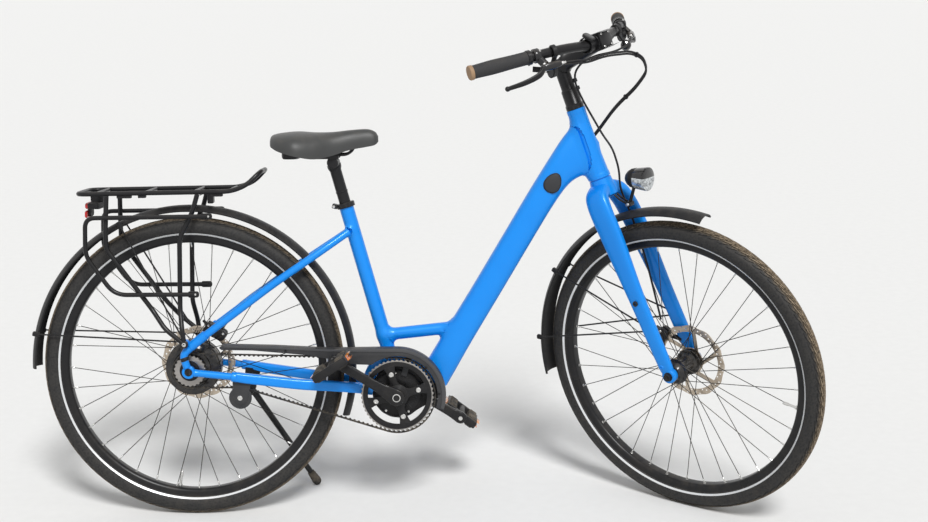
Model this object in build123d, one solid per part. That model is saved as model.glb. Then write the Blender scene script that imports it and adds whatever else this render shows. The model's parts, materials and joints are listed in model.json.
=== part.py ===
from build123d import *
from functools import cache
import math
import os

# An electric city bike, parked on its side stand, in millimetres.
# The pieces are drawn with the bike upright and its steering straight: X forward from the
# rear axle, Y to the rider's left, Z up from the ground. They are then steered, leaned onto
# the stand and moved so that the origin is at the bottom centre of the whole bike's box.

# Overall geometry
WHEELBASE = 1176.0
WHEEL_R = 361.0              # tyre's outer radius
HEAD_ANGLE = 70.75
FORK_OFFSET = 45.0           # front axle ahead of the steering axis
LEAN = 6.9                   # degrees to the left, onto the stand
STEER_REST = -37.7           # degrees, turned right as it is parked
SEAT = 0.3                   # air between pieces that touch

# Wheels
TYRE_R = 25.0                # radius of the tyre's section
RIM_SINK = 44.0              # from the tread down to the rim's edge
RIM_DEEP = 17.0
RIM_W = 32.0
RIM_IN_W = 22.0
SPOKES = 36
SPOKE_R = 1.1
FLANGE_T = 3.2
FRONT_FLANGE_R = 29.0
FRONT_FLANGE_Y = 31.0
FRONT_HUB_R = 16.0
REAR_FLANGE_R = 61.0
REAR_FLANGE_Y = 27.0
REAR_SHELL_R = 66.0
FRONT_OLD = 100.0            # between the fork ends
REAR_OLD = 135.0             # between the rear dropouts
SHELL_HALF = 15.0            # half the width of the rear hub's widest part
REAR_LEAD = 35.0             # degrees that a spoke's two ends lie apart round the axle
FRONT_LEAD = 70.0
AXLE_R = 6.0
ROTOR_R = 90.0
ROTOR_T = 2.0
FRONT_ROTOR_Y = 42.0
REAR_ROTOR_Y = 50.0

# Drive
BB_X = 491.0
BB_Z = 299.0
CRANK_LEN = 170.0
CRANK_ANGLE = 149.0          # right arm, from straight ahead, turning up
BELT_Y = -56.0
BELT_W = 10.0
RING_R = 86.0                # over the teeth
RING_TEETH = 50
COG_R = 37.5
COG_TEETH = 22
BELT_GAP = 0.5
BELT_T = 5.0
PULLEY_X = 119.6
PULLEY_Z = 297.7
PULLEY_R = 20.0
MOTOR_R = 62.0
MOTOR_RIGHT = -39.4
MOTOR_LEFT = 52.0
CRANK_AXLE_R = 11.0
ARM_Y = 83.0                 # middle of each crank arm's thickness
ARM_T = 13.0
PEDAL_Y = 145.0              # middle of each pedal's width
PEDAL_W = 96.0
PEDAL_L = 92.0
PEDAL_T = 26.0

# Frame tubes
SEAT_ANGLE = 74.7
SEAT_TUBE_R = 17.0
SEAT_TUBE_X = 385.3          # on the seat tube's axis at height SEAT_TUBE_Z
SEAT_TUBE_Z = 699.0
SEAT_TUBE_TOP = 748.0
SEAT_TUBE_LOW = 388.0
POST_R = 13.6
POST_TOP = 846.0
DOWN_X = 630.0               # on the down tube's axis at height DOWN_Z
DOWN_Z = 420.0
DOWN_ANGLE = 59.0
DOWN_DEPTH = 67.0
DOWN_WIDTH = 56.0
BRACE_R = 14.6
BRACE_Z1 = 434.6
BRACE_Z2 = 454.5
HEAD_LOW = 488.0             # along the steering axis, up from abeam the front axle
HEAD_TOP = 659.0
HEAD_R1 = 26.0
HEAD_R2 = 21.8
STEERER_R = 14.3
DROPOUT_R = 15.5
DROPOUT_T = 12.0
SEATSTAY_R = 9.0
SEATSTAY_TOP = 684.0         # height where the stays meet the seat tube
CHAINSTAY_R = 8.5
CHAINSTAY_BIG_R = 12.0

# Mudguards
FENDER_CLEAR = 29.0          # from the tread to the mudguard's crown
FENDER_DROP = 12.0           # from crown to edge
FENDER_W = 56.0
FENDER_T = 2.4
WIRE_R = 2.0
REAR_FENDER_FROM = -17.0     # degrees about the axle, from straight ahead, turning up
REAR_FENDER_TO = 181.0
FRONT_FENDER_FROM = 79.0
FRONT_FENDER_TO = 192.0

# Rack
RACK_R = 5.5
RACK_Y = 65.0
RACK_Z = 785.0
RACK_RISE = 4.0
RACK_FOOT_X = -4.0
RACK_FOOT_UP = 70.0          # above the rear axle
RACK_FOOT_Y = 89.0
LEG_R = 5.0
SIDE_RAIL_Y = 84.3

# Cockpit
BAR_R = 11.1
BAR_MID_R = 15.9
BAR_HALF = 312.0
GRIP_FROM = 190.0
GRIP_R = 15.6
STEM_TOP = 783.0             # along the steering axis
CLAMP_X = 987.0
CLAMP_Z = 1131.0

# Fork crown
CROWN_DEPTH = 56.0

# Threaded boss on each fork leg
BOSS_BACK = 78.0             # behind the front axle
BOSS_UP = 172.0              # above the front axle
BOSS_OUT_R = 6.5
BOSS_R = 2.5
BOSS_SEAT_Y = 70.0           # outer face of the leg there
BOSS_DEPTH = 4.0

# Side stand
STAND_PIVOT = Vector(120, 84, 291)
STAND_DOWN = Vector(0.478, 0.263, -0.838)
STAND_BACK = Vector(-0.98, 0.13, 0.15)
STAND_HUB_R = 13.0
STAND_HUB_HALF = 8.0
STAND_LUG = 13.0
STAND_R = 8.0
FOOT_R = 11.0

HEAD = math.radians(HEAD_ANGLE)
UP = Vector(-math.cos(HEAD), 0, math.sin(HEAD))
FRONT_AXLE = Vector(WHEELBASE, 0, WHEEL_R)
REAR_AXLE = Vector(0, 0, WHEEL_R)
BB = Vector(BB_X, 0, BB_Z)
STEER_FOOT = FRONT_AXLE - FORK_OFFSET * Vector(math.sin(HEAD), 0, math.cos(HEAD))
SEAT_UP = Vector(-math.cos(math.radians(SEAT_ANGLE)), 0, math.sin(math.radians(SEAT_ANGLE)))
DOWN_UP = Vector(math.cos(math.radians(DOWN_ANGLE)), 0, math.sin(math.radians(DOWN_ANGLE)))
TYRE_MID = WHEEL_R - TYRE_R
RIM_OUT = WHEEL_R - RIM_SINK
RIM_IN = RIM_OUT - RIM_DEEP
FENDER_R = WHEEL_R + FENDER_CLEAR
RACK_FOOT_Z = WHEEL_R + RACK_FOOT_UP
BOSS_X = WHEELBASE - BOSS_BACK
BOSS_Z = WHEEL_R + BOSS_UP
BOSS_Y = BOSS_SEAT_Y + SEAT + BOSS_DEPTH
STAND_AXIS = STAND_DOWN.cross(STAND_BACK).normalized()


def on_seat_axis(z):
    return Vector(SEAT_TUBE_X - (z - SEAT_TUBE_Z) / math.tan(math.radians(SEAT_ANGLE)), 0, z)


def on_down_axis(z):
    return Vector(DOWN_X + (z - DOWN_Z) / math.tan(math.radians(DOWN_ANGLE)), 0, z)


def on_steer_axis(t):
    return STEER_FOOT + t * UP


def rod(p, q, r, r2=None):
    p, q = Vector(p), Vector(q)
    line = q - p
    plane = Plane(origin=p, z_dir=line.normalized())
    if r2 is None:
        return plane * Cylinder(r, line.length, align=(Align.CENTER, Align.CENTER, Align.MIN))
    return plane * Cone(r, r2, line.length, align=(Align.CENTER, Align.CENTER, Align.MIN))


def bent(points, r, share=0.45):
    # a tube of radius r through the points, each bend as wide as its two runs allow
    pts = [Vector(p) for p in points]
    radii = []
    for a, b, c in zip(pts, pts[1:], pts[2:]):
        turn = math.radians((b - a).get_angle(c - b))
        radii.append(share * min((b - a).length, (c - b).length) / math.tan(turn / 2))
    path = FilletPolyline(*pts, radius=radii) if radii else Line(*pts)
    start = Plane(origin=path @ 0, z_dir=path % 0)
    return sweep(start * Circle(r), path)


def along_y(x, z, r, y1, y2):
    return Pos(x, (y1 + y2) / 2, z) * Rot(X=90) * Cylinder(r, abs(y2 - y1))


def plate_xz(outline, y1, y2):
    # a flat outline drawn in X and Z, thick from y1 to y2
    face = Plane(origin=(0, min(y1, y2), 0), x_dir=(1, 0, 0), z_dir=(0, -1, 0)) * outline
    return extrude(face, amount=abs(y2 - y1), dir=(0, 1, 0))


def both(shape):
    return [shape, mirror(shape, Plane.XZ)]


def group(parts):
    flat = []
    for p in parts:
        flat += p.solids()
    return flat[0] if len(flat) == 1 else Compound(flat)


def spun(profile_face, start=0.0, end=360.0):
    # revolves a face drawn in (distance from axle, Y) about the wheel's axis, from the
    # angle `start` to `end`, counted from straight ahead and turning up
    return Rot(Y=-end) * revolve(profile_face, Axis.Y, end - start)


def wheel_face(points):
    # closed outline in radius along X and width along Y, on the plane through the axle
    return make_face(Polyline(*[(x, y, 0) for x, y in points], close=True))


def section(p, direction, width, depth, corner):
    # a rounded cross-section, `width` along Y and `depth` across the given direction
    plane = Plane(origin=p, x_dir=(0, 1, 0), z_dir=direction)
    return plane * RectangleRounded(width, depth, corner)


# Frame

def head_tube():
    low, top = on_steer_axis(HEAD_LOW), on_steer_axis(HEAD_TOP)
    body = rod(low, top, HEAD_R1, HEAD_R2)
    return body - rod(low - 5 * UP, top + 5 * UP, STEERER_R + SEAT)


@cache
def down_tube():
    mid = on_steer_axis((HEAD_LOW + HEAD_TOP) / 2 - 2)
    ahead = Vector(math.sin(HEAD), 0, math.cos(HEAD))
    # height on the tube's axis, width, depth, corner radius
    rows = [(328.0, 50.0, 62.0, 20.0), (470.0, DOWN_WIDTH, DOWN_DEPTH, 24.0),
            (690.0, DOWN_WIDTH, DOWN_DEPTH, 24.0), (775.0, 54.0, 72.0, 22.0)]
    faces = [section(on_down_axis(z), DOWN_UP, w, d, c) for z, w, d, c in rows]
    faces.append(section(mid, ahead, 38.0, HEAD_TOP - HEAD_LOW - 34, 14.0))
    return loft(faces, ruled=True) - rod(on_steer_axis(HEAD_LOW - 20),
                                         on_steer_axis(HEAD_TOP + 20), HEAD_R1)


@cache
def seat_tube():
    return rod(on_seat_axis(SEAT_TUBE_LOW), on_seat_axis(SEAT_TUBE_TOP), SEAT_TUBE_R)


def brace_tube():
    tube = rod(on_seat_axis(BRACE_Z1), on_down_axis(BRACE_Z2), BRACE_R)
    return tube - seat_tube() - down_tube()


@cache
def seatstays():
    top = on_seat_axis(SEATSTAY_TOP)
    points = [top + Vector(-12, -19, 0), top + Vector(-89, -50, -52), top + Vector(-174, -64, -108),
              (30, -79, WHEEL_R + 79), (-10, -79, WHEEL_R + 41), (-3, -76.5, WHEEL_R + 11)]
    stay = bent(points, SEATSTAY_R)
    eye = along_y(0, WHEEL_R, DROPOUT_R, -REAR_OLD / 2, -REAR_OLD / 2 - DROPOUT_T)
    lug = rod((16, -80, WHEEL_R + 68), (38, -78.2, WHEEL_R + 85), SEATSTAY_R + 2.5)
    boss = along_y(RACK_FOOT_X, RACK_FOOT_Z, 8.5, -70, -RACK_FOOT_Y)
    one = (stay + eye + lug + boss) - along_y(0, WHEEL_R, AXLE_R + SEAT, -60, -90) - seat_tube()
    return group(both(one))


@cache
def chainstays():
    eye_low = WHEEL_R - 1.5
    thin = rod((DROPOUT_R - 1, -76, eye_low), (112, -76, 349), CHAINSTAY_R)
    collar = rod((103, -76, 349.8), (114, -76, 348.8), CHAINSTAY_BIG_R)
    rows = [(112, -74, 349, 22, 23), (150, -71, 343, 20, 24), (262, -61, 328, 20, 25),
            (340, -48, 320, 16, 25), (398, -38, 313, 15, 25), (432, -36.5, 308, 15, 25)]
    ahead = Vector(1, 0, -0.1).normalized()
    thick = loft([section(Vector(x, y, z), ahead, w, d, 6.5) for x, y, z, w, d in rows], ruled=True)
    eye = along_y(0, WHEEL_R, DROPOUT_R + SEAT, -60, -90)
    one = (thin + collar + thick) - eye
    return group(both(one))


def motor_outline(extra=0.0):
    block = Polyline((602, 300), (556, 340), (520, 366), (470, 366), (436, 336), (432, 290),
                     (470, 240), (520, 236), (600, 288), close=True)
    shape = make_face(block) + Pos(BB_X, BB_Z) * Circle(MOTOR_R)
    return offset(shape, extra, kind=Kind.INTERSECTION) if extra else shape


def motor():
    body = plate_xz(motor_outline(), MOTOR_RIGHT + 8, MOTOR_LEFT - 10)
    drum = along_y(BB_X, BB_Z, MOTOR_R - 4, MOTOR_RIGHT, MOTOR_LEFT)
    spindle = along_y(BB_X, BB_Z, CRANK_AXLE_R + SEAT, -60, 60)
    return body + drum - spindle - down_tube() - chainstays().solids()


def motor_cradle():
    outline = Polyline((604, 309), (578, 350), (548, 372), (520, 398), (448, 398), (410, 345),
                       (400, 300), (430, 285), (470, 300), (560, 300), close=True)
    shell = plate_xz(make_face(outline), -28, 28)
    shell -= plate_xz(motor_outline(SEAT), -60, 60)
    return shell - down_tube() - seat_tube() - chainstays().solids()


def seat_clamp():
    low, top = on_seat_axis(SEAT_TUBE_TOP - 14), on_seat_axis(SEAT_TUBE_TOP + 6)
    ring = rod(low, top, SEAT_TUBE_R + 4.5) - rod(low, on_seat_axis(SEAT_TUBE_TOP), SEAT_TUBE_R)
    ears = rod(top - 10 * SEAT_UP + Vector(-24, -11, 0), top - 10 * SEAT_UP + Vector(-24, 11, 0), 6)
    return ring + ears - rod(low, top + 5 * SEAT_UP, POST_R)


def seatpost():
    post = rod(on_seat_axis(SEAT_TUBE_TOP), on_seat_axis(POST_TOP), POST_R)
    head = along_y(on_seat_axis(POST_TOP).X, POST_TOP + 2, 15, -24, 24)
    return post + head


def saddle():
    # distance ahead, half width, top, underside
    rows = [(203, 40, 903, 893), (225, 74, 916, 872), (262, 86, 922, 858), (310, 66, 918, 853),
            (345, 42, 920, 868), (380, 28, 924, 880), (425, 21, 926, 884), (452, 13, 912, 896)]
    hollow = [(212, 30, 893, 840), (240, 66, 896, 840), (262, 78, 898, 840), (310, 58, 896, 840),
              (360, 28, 900, 840), (405, 15, 904, 840)]
    shells = []
    for table in (rows, hollow):
        faces = []
        for x, half, top, low in table:
            plane = Plane(origin=(x, 0, (top + low) / 2), x_dir=(0, 1, 0), z_dir=(1, 0, 0))
            faces.append(plane * RectangleRounded(2 * half, top - low, 4.5))
        shells.append(loft(faces, ruled=True))
    return shells[0] - shells[1]


def saddle_rails():
    z = POST_TOP + 21
    points = [(219, -26, 889), (262, -22, z), (385, -14, z), (401, -8, 898)]
    return group(both(bent(points, 3.5)))


# Rack, mudguards and lamps

def deck_z(x):
    # height of the deck's side tubes, which rise a little towards the front
    return RACK_Z + RACK_RISE * (x + 71) / 362


def rack_deck():
    near = [(178, 0, 831), (178, -48, 831), (146, -62, 800), (110, -RACK_Y, deck_z(110)),
            (-252, -RACK_Y, deck_z(-252)), (-252, 0, deck_z(-252))]
    hoop = bent(near, RACK_R) + mirror(bent(near, RACK_R), Plane.XZ)
    for x in (-205, -90, 25, 105):
        hoop += along_y(x, deck_z(x), RACK_R - 1, -RACK_Y, RACK_Y)
    return hoop


def rack_legs():
    drop = RACK_R + SEAT
    foot = (RACK_FOOT_X, -RACK_FOOT_Y - 5, RACK_FOOT_Z)
    rear = [(-181, -RACK_Y, deck_z(-181) - drop), (-184, -74, 700), (-184, -74, 655),
            (-80, -74, 510), (-48, -94, 468), foot]
    front = [(32, -RACK_Y, deck_z(32) - drop), (28, -68, 740), (-6, -74, 680),
             (-10, -74, 510), (-6, -94, 462), foot]
    eye = along_y(RACK_FOOT_X, RACK_FOOT_Z, 9, -RACK_FOOT_Y - SEAT, -RACK_FOOT_Y - 9)
    one = bent(rear, LEG_R) + bent(front, LEG_R) + eye
    return group(both(one))


def side_rails():
    y = -SIDE_RAIL_Y
    rail = bent([(58, y, 731), (-228, y, 729), (-231, y, 640), (-166, y, 548), (22, y, 548)], LEG_R)
    return group(both(rail))


def guard_section(crown_r):
    half, edge = FENDER_W / 2, crown_r - FENDER_DROP
    outer = ThreePointArc((edge, -half), (crown_r, 0), (edge, half))
    inner = ThreePointArc((edge, half - FENDER_T), (crown_r - FENDER_T, 0), (edge, -half + FENDER_T))
    sides = [Line(outer @ 1, inner @ 0), Line(inner @ 1, outer @ 0)]
    return make_face(Wire([outer, sides[0], inner, sides[1]]))


def rear_fender():
    return Pos(0, 0, WHEEL_R) * spun(guard_section(FENDER_R), REAR_FENDER_FROM, REAR_FENDER_TO)


def front_fender():
    shell = spun(guard_section(FENDER_R + 4), FRONT_FENDER_FROM, FRONT_FENDER_TO)
    return Pos(FRONT_AXLE) * shell


def fender_edge(axle_point, crown_r, degrees):
    # beside the right edge of a mudguard, where its wire stay is held
    r, t = crown_r - FENDER_DROP + 1.5, math.radians(degrees)
    return axle_point + Vector(r * math.cos(t), -FENDER_W / 2 - WIRE_R - SEAT, r * math.sin(t))


def rear_fender_stays():
    out = []
    for i, degrees in enumerate((115, 167)):
        y = -70 + SEAT + i * (4 + SEAT)
        eye = along_y(RACK_FOOT_X, RACK_FOOT_Z, 6, y, y + 4)
        wire = rod(fender_edge(REAR_AXLE, FENDER_R, degrees), (RACK_FOOT_X - 4, y + 2, RACK_FOOT_Z), WIRE_R)
        out += both(wire + eye)
    return group(out)


def tail_lamp():
    body = Pos(-232, 0, 757) * Box(34, 92, 26) + Pos(-251, 0, 757) * Box(5, 84, 22)
    low, top = 770, deck_z(-252) - RACK_R - SEAT
    arm = Pos(-240, 0, (low + top) / 2) * Box(40, 30, top - low)
    return body + arm


# Drive

def loop_face(extra):
    # the belt's path as a closed outline grown by `extra`: over the cog, the ring and the
    # tensioner's pulley, joined by straight runs
    ring = (BB_X, BB_Z, RING_R + BELT_GAP + extra)
    cog = (0.0, WHEEL_R, COG_R + BELT_GAP + extra)
    pulley = (PULLEY_X, PULLEY_Z, PULLEY_R + BELT_T + BELT_GAP - extra)

    def outside(a, b, side):
        # the points where a straight run leaves circle a and meets circle b on one side
        dx, dz = b[0] - a[0], b[1] - a[1]
        gap = math.hypot(dx, dz)
        lean = math.atan2(dz, dx) + side * math.acos((a[2] - b[2]) / gap)
        return [(c[0] + c[2] * math.cos(lean), c[1] + c[2] * math.sin(lean)) for c in (a, b)]

    def crossed(a, b, side):
        # the same for a run that goes below circle a and above circle b
        dx, dz = b[0] - a[0], b[1] - a[1]
        gap = math.hypot(dx, dz)
        lean = math.atan2(dz, dx) + side * math.acos((a[2] + b[2]) / gap)
        return [(a[0] + a[2] * math.cos(lean), a[1] + a[2] * math.sin(lean)),
                (b[0] - b[2] * math.cos(lean), b[1] - b[2] * math.sin(lean))]

    top = outside(cog, ring, 1)
    low1 = crossed(cog, pulley, -1)
    low2 = crossed(pulley, ring, 1)
    front = (ring[0] + ring[2], ring[1])
    back = (cog[0] - cog[2], cog[1])
    over = (pulley[0], pulley[1] + pulley[2])
    edges = [Line(top[0], top[1]), ThreePointArc(top[1], front, low2[1]), Line(low2[1], low2[0]),
             ThreePointArc(low2[0], over, low1[1]), Line(low1[1], low1[0]),
             ThreePointArc(low1[0], back, top[0])]
    return make_face(Wire(edges))


def drive_belt():
    y1, y2 = BELT_Y - BELT_W / 2, BELT_Y + BELT_W / 2
    return plate_xz(loop_face(BELT_T), y1, y2) - plate_xz(loop_face(0.0), y1 - 1, y2 + 1)


def belt_guard():
    near, far = RING_R + 10, RING_R + 29
    a, b = math.radians(136), math.radians(-17)

    def at(r, t):
        return (BB_X + r * math.cos(t), BB_Z + r * math.sin(t))

    def outline(cut):
        top = ThreePointArc(at(far - cut, math.pi / 2), at(far - cut, math.pi / 5), at(far - cut, b))
        low = ThreePointArc(at(near, b), at(near, math.pi / 3), at(near, a))
        back = Polyline(at(near, a), (330, 391), (150, 411), (72, 413), (72, 424 - cut),
                        at(far - cut, math.pi / 2))
        return make_face(Wire([top, Line(top @ 1, low @ 0), low] + back.edges()))

    front = plate_xz(outline(0), -69.5, -66.5)
    lip = plate_xz(outline(0), -66.5, -41) - plate_xz(outline(3), -67, -40)
    for t in (0.15, 1.25):
        y = MOTOR_RIGHT - SEAT - 2.5
        arm = Pos(BB_X + 86 * math.cos(t), y, BB_Z + 86 * math.sin(t))
        lip += arm * Rot(Y=-math.degrees(t)) * Box(55, 5, 16)
    return front + lip


def belt_tensioner():
    wheel = along_y(PULLEY_X, PULLEY_Z, PULLEY_R, BELT_Y - 5, BELT_Y + 5)
    pin = along_y(PULLEY_X, PULLEY_Z, 5, BELT_Y - 5, -72)
    arm = plate_xz(make_face(Polyline((108, 338), (142, 334), (130, 288), (110, 288), close=True)), -72, -68)
    return wheel + pin + (arm - chainstays().solids())


def rear_caliper():
    body = Pos(44, REAR_ROTOR_Y, 437) * Rot(Y=30) * Box(58, 32, 28)
    slot = along_y(0, WHEEL_R, ROTOR_R + 2, REAR_ROTOR_Y - 3, REAR_ROTOR_Y + 3)
    arm = rod((66, REAR_ROTOR_Y + 10, 452), (70, 67, 462), 7)
    return body + arm - slot - seatstays().solids()


def stand_bracket():
    # a lug square to the stand's hinge, hung from the left chainstay by a plate
    near = STAND_PIVOT - (STAND_HUB_HALF + SEAT) * STAND_AXIS
    lug = rod(near, near - STAND_LUG * STAND_AXIS, STAND_HUB_R)
    outline = Polyline((112, 345), (150, 340), (132, 282), (106, 282), close=True)
    return plate_xz(make_face(outline), 62, 69) + lug - chainstays().solids()


# Wheels

def tyre(centre):
    half = math.sqrt(TYRE_R ** 2 - (RIM_OUT + SEAT - TYRE_MID) ** 2)
    arc = ThreePointArc((RIM_OUT + SEAT, -half), (WHEEL_R, 0), (RIM_OUT + SEAT, half))
    return Pos(centre) * spun(make_face(Wire([arc, Line(arc @ 1, arc @ 0)])))


def rim(centre):
    ow, iw = RIM_W / 2, RIM_IN_W / 2
    return Pos(centre) * spun(wheel_face([(RIM_OUT, -ow), (RIM_OUT, ow), (RIM_IN + 8, ow),
                                          (RIM_IN, iw), (RIM_IN, -iw), (RIM_IN + 8, -ow)]))


def spokes(centre, flange_r, flange_y, lead):
    # each spoke leaves its flange nearly along a tangent; neighbours lean opposite ways
    wires = []
    step = 360.0 / SPOKES
    for i in range(SPOKES):
        side = 1 if i % 2 else -1
        sweep_way = 1 if (i // 2) % 2 else -1
        out = math.radians(i * step)
        hub = out + math.radians(sweep_way * lead)
        r1, r2 = flange_r - 4.5, RIM_IN - SEAT
        slip = flange_y / r2 * math.sqrt(flange_r ** 2 - r1 ** 2) if sweep_way > 0 else 0.0
        y1 = side * (flange_y + sweep_way * (FLANGE_T / 2 + SPOKE_R + SEAT + slip))
        p = Vector(r1 * math.cos(hub), y1, r1 * math.sin(hub))
        q = Vector(r2 * math.cos(out), side * 3.0, r2 * math.sin(out))
        plane = Plane(origin=p, z_dir=(q - p).normalized())
        wires.append(plane * extrude(RegularPolygon(SPOKE_R, 4), (q - p).length))
    return group([Pos(centre) * w for w in wires])


def hub(centre, old, flange_r, flange_y, shell_r, shell_half):
    # half of the turned outline in radius and width, mirrored to the other side
    half = [(0, old / 2 - 3), (AXLE_R + 3, old / 2 - 3), (AXLE_R + 3, flange_y + 14),
            (shell_r * 0.55, flange_y + 10), (shell_r * 0.9, flange_y + FLANGE_T / 2),
            (flange_r, flange_y + FLANGE_T / 2), (flange_r, flange_y - FLANGE_T / 2),
            (shell_r, flange_y - FLANGE_T / 2)]
    if shell_r > flange_r:
        half = [(0, old / 2 - 3), (AXLE_R + 3, old / 2 - 3), (AXLE_R + 3, flange_y + 14),
                (shell_r * 0.55, flange_y + 10), (flange_r - 8, flange_y + FLANGE_T / 2),
                (flange_r, flange_y + FLANGE_T / 2), (flange_r, flange_y - FLANGE_T / 2),
                (flange_r - 8, flange_y - FLANGE_T / 2), (shell_r, shell_half)]
    outline = half + [(r, -y) for r, y in reversed(half)]
    bore = along_y(0, 0, AXLE_R + SEAT, -old, old)
    return Pos(centre) * (spun(wheel_face(outline)) - bore)


def axle(centre, old, thick):
    end = old / 2 + thick + 3
    return along_y(centre.X, centre.Z, AXLE_R, -end, end)


def rotor(centre, y, bore):
    disc = along_y(centre.X, centre.Z, ROTOR_R, y - ROTOR_T / 2, y + ROTOR_T / 2)
    disc -= along_y(centre.X, centre.Z, ROTOR_R - 16, y - 2, y + 2)
    inner = along_y(centre.X, centre.Z, 30, y - ROTOR_T / 2, y + ROTOR_T / 2)
    arms = []
    for i in range(6):
        t = math.radians(60 * i)
        p = centre + Vector(26 * math.cos(t), y, 26 * math.sin(t))
        q = centre + Vector(78 * math.cos(t + 0.35), y, 78 * math.sin(t + 0.35))
        mid = (p + q) * 0.5
        turn = math.degrees(math.atan2(q.Z - p.Z, q.X - p.X))
        arms.append(Pos(mid) * Rot(Y=-turn) * Box((q - p).length, ROTOR_T, 7))
    disc = disc + inner + arms
    return disc - along_y(centre.X, centre.Z, bore + SEAT, y - 2, y + 2)


def toothed(radius, teeth, depth):
    # a toothed disc outline: a circle less one round gap for each tooth
    gap = radius * math.sin(math.pi / teeth) * 0.62
    face = Circle(radius)
    for i in range(teeth):
        t = 2 * math.pi * (i + 0.5) / teeth
        face -= Pos(radius * math.cos(t), radius * math.sin(t)) * Circle(gap)
    return face


def cog():
    y1, y2 = BELT_Y - BELT_W / 2, BELT_Y + BELT_W / 2
    disc = plate_xz(Circle(COG_R) - Circle(AXLE_R + 3 + SEAT), y1, y2)
    return Pos(REAR_AXLE) * disc


# Cranks and pedals

def arm_end(sign):
    t = math.radians(CRANK_ANGLE)
    return BB + sign * CRANK_LEN * Vector(math.cos(t), 0, math.sin(t))


def chainring():
    y1, y2 = BELT_Y - BELT_W / 2, BELT_Y + BELT_W / 2
    ring = plate_xz(Circle(RING_R) - Circle(RING_R - 14), y1, y2)
    spider = plate_xz(Circle(27) - Circle(CRANK_AXLE_R + SEAT), BELT_Y - 4, BELT_Y + 4)
    for i in range(4):
        t = 105 + 90 * i
        spider += Rot(Y=-t) * Pos(48, BELT_Y, 0) * Box(54, 6, 18)
    return Pos(BB) * (ring + spider)


def cranks():
    body = along_y(BB_X, BB_Z, CRANK_AXLE_R, -ARM_Y, ARM_Y)
    for sign in (1, -1):
        y = -sign * ARM_Y
        end = arm_end(sign)
        turn = math.degrees(math.atan2(end.Z - BB_Z, end.X - BB_X))
        arm = along_y(BB_X, BB_Z, 18, y - ARM_T / 2, y + ARM_T / 2)
        arm += along_y(end.X, end.Z, 14, y - ARM_T / 2, y + ARM_T / 2)
        arm += Pos((BB.X + end.X) / 2, y, (BB.Z + end.Z) / 2) * Rot(Y=-turn) * Box(CRANK_LEN, ARM_T, 25)
        body += arm
        body -= along_y(end.X, end.Z, 5 + SEAT, y - 20, y + 20)
    return body


def pedal(sign, tilt):
    end = arm_end(sign)
    y = -sign * PEDAL_Y
    body = Box(PEDAL_L, PEDAL_W, PEDAL_T)
    for side in (-1, 1):
        body -= Pos(side * 26, 0, 0) * Box(24, PEDAL_W - 24, PEDAL_T + 2)
    pin_from = -sign * (ARM_Y - ARM_T / 2)
    pin = along_y(end.X, end.Z, 5, pin_from, y)
    return Pos(end.X, y, end.Z) * Rot(Y=-tilt) * body + pin


# Steered pieces

@cache
def fork():
    legs = []
    # ahead of and above the axle, out to the side, then the section's depth and thickness
    rows = [(-186, 431, -38, 56, 26), (-174, 389, -51, 59, 27), (-139, 314, -56, 57, 24),
            (-77, 173, -60, 41, 20), (-16, 36, -61, 36, 17), (-4, 5, -59, 30, 16)]
    along = Vector(math.sin(math.radians(23.7)), 0, -math.cos(math.radians(23.7)))
    faces = [section(FRONT_AXLE + Vector(x, y, z), along, w, d, 7.5) for x, z, y, d, w in rows]
    leg = loft(faces, ruled=True)
    leg += along_y(WHEELBASE, WHEEL_R, 17, -FRONT_OLD / 2 - 1, -FRONT_OLD / 2 - 15)
    leg -= along_y(WHEELBASE, WHEEL_R, 60, -FRONT_OLD / 2, 0)
    leg -= along_y(WHEELBASE, WHEEL_R, AXLE_R + SEAT, -90, 0)
    crown = section(on_steer_axis(HEAD_LOW - 52), UP, 104, CROWN_DEPTH, 20)
    crown2 = section(on_steer_axis(HEAD_LOW - 22), UP, 84, CROWN_DEPTH, 20)
    crown3 = section(on_steer_axis(HEAD_LOW - SEAT), UP, 50, 50, 20)
    top = loft([crown, crown2, crown3], ruled=True)
    steerer = rod(on_steer_axis(HEAD_LOW - 10), on_steer_axis(HEAD_TOP + 8), STEERER_R)
    return leg + mirror(leg, Plane.XZ) + top + steerer


def fork_bosses():
    # a threaded boss on each leg, for the screw of a low rack or a bottle cage
    ring = plate_xz(Circle(BOSS_OUT_R) - Circle(BOSS_R), -BOSS_Y, -BOSS_Y + BOSS_DEPTH)
    return group(both(Pos(BOSS_X, 0, BOSS_Z) * ring))


def stem():
    low, top = on_steer_axis(HEAD_TOP + SEAT), on_steer_axis(STEM_TOP)
    riser = rod(low, on_steer_axis(HEAD_TOP + 14), HEAD_R2 - 0.5) + rod(low, top, 16.5)
    clamp = Vector(CLAMP_X, 0, CLAMP_Z)
    riser += rod(on_steer_axis(STEM_TOP - 14), clamp, 17)
    riser += along_y(CLAMP_X, CLAMP_Z, 21, -23, 23)
    riser -= rod(low - UP, on_steer_axis(HEAD_TOP + 8.3), STEERER_R + SEAT)
    return riser - along_y(CLAMP_X, CLAMP_Z, BAR_MID_R, -60, 60)


# ahead of the clamp, out to the side, above the clamp
BAR_ROWS = [(0, 0, 0), (-2, -40, 0), (-21, -112, 5.5), (-40, -163, 4.4), (-136, -BAR_HALF, -12.4)]


def bar_points(side):
    return [Vector(CLAMP_X + x, side * -y, CLAMP_Z + z) for x, y, z in BAR_ROWS]


def along_grip(side, share):
    # a point on the bar's straight end: 0 where the grip starts, 1 at the bar's tip
    a, b = bar_points(side)[3], bar_points(side)[4]
    at = (GRIP_FROM - abs(a.Y)) / (abs(b.Y) - abs(a.Y))
    return a + (at + share * (1 - at)) * (b - a)


@cache
def handlebar():
    half = bent(bar_points(-1), BAR_R)
    return half + mirror(half, Plane.XZ) + along_y(CLAMP_X, CLAMP_Z, BAR_MID_R, -30, 30)


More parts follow.
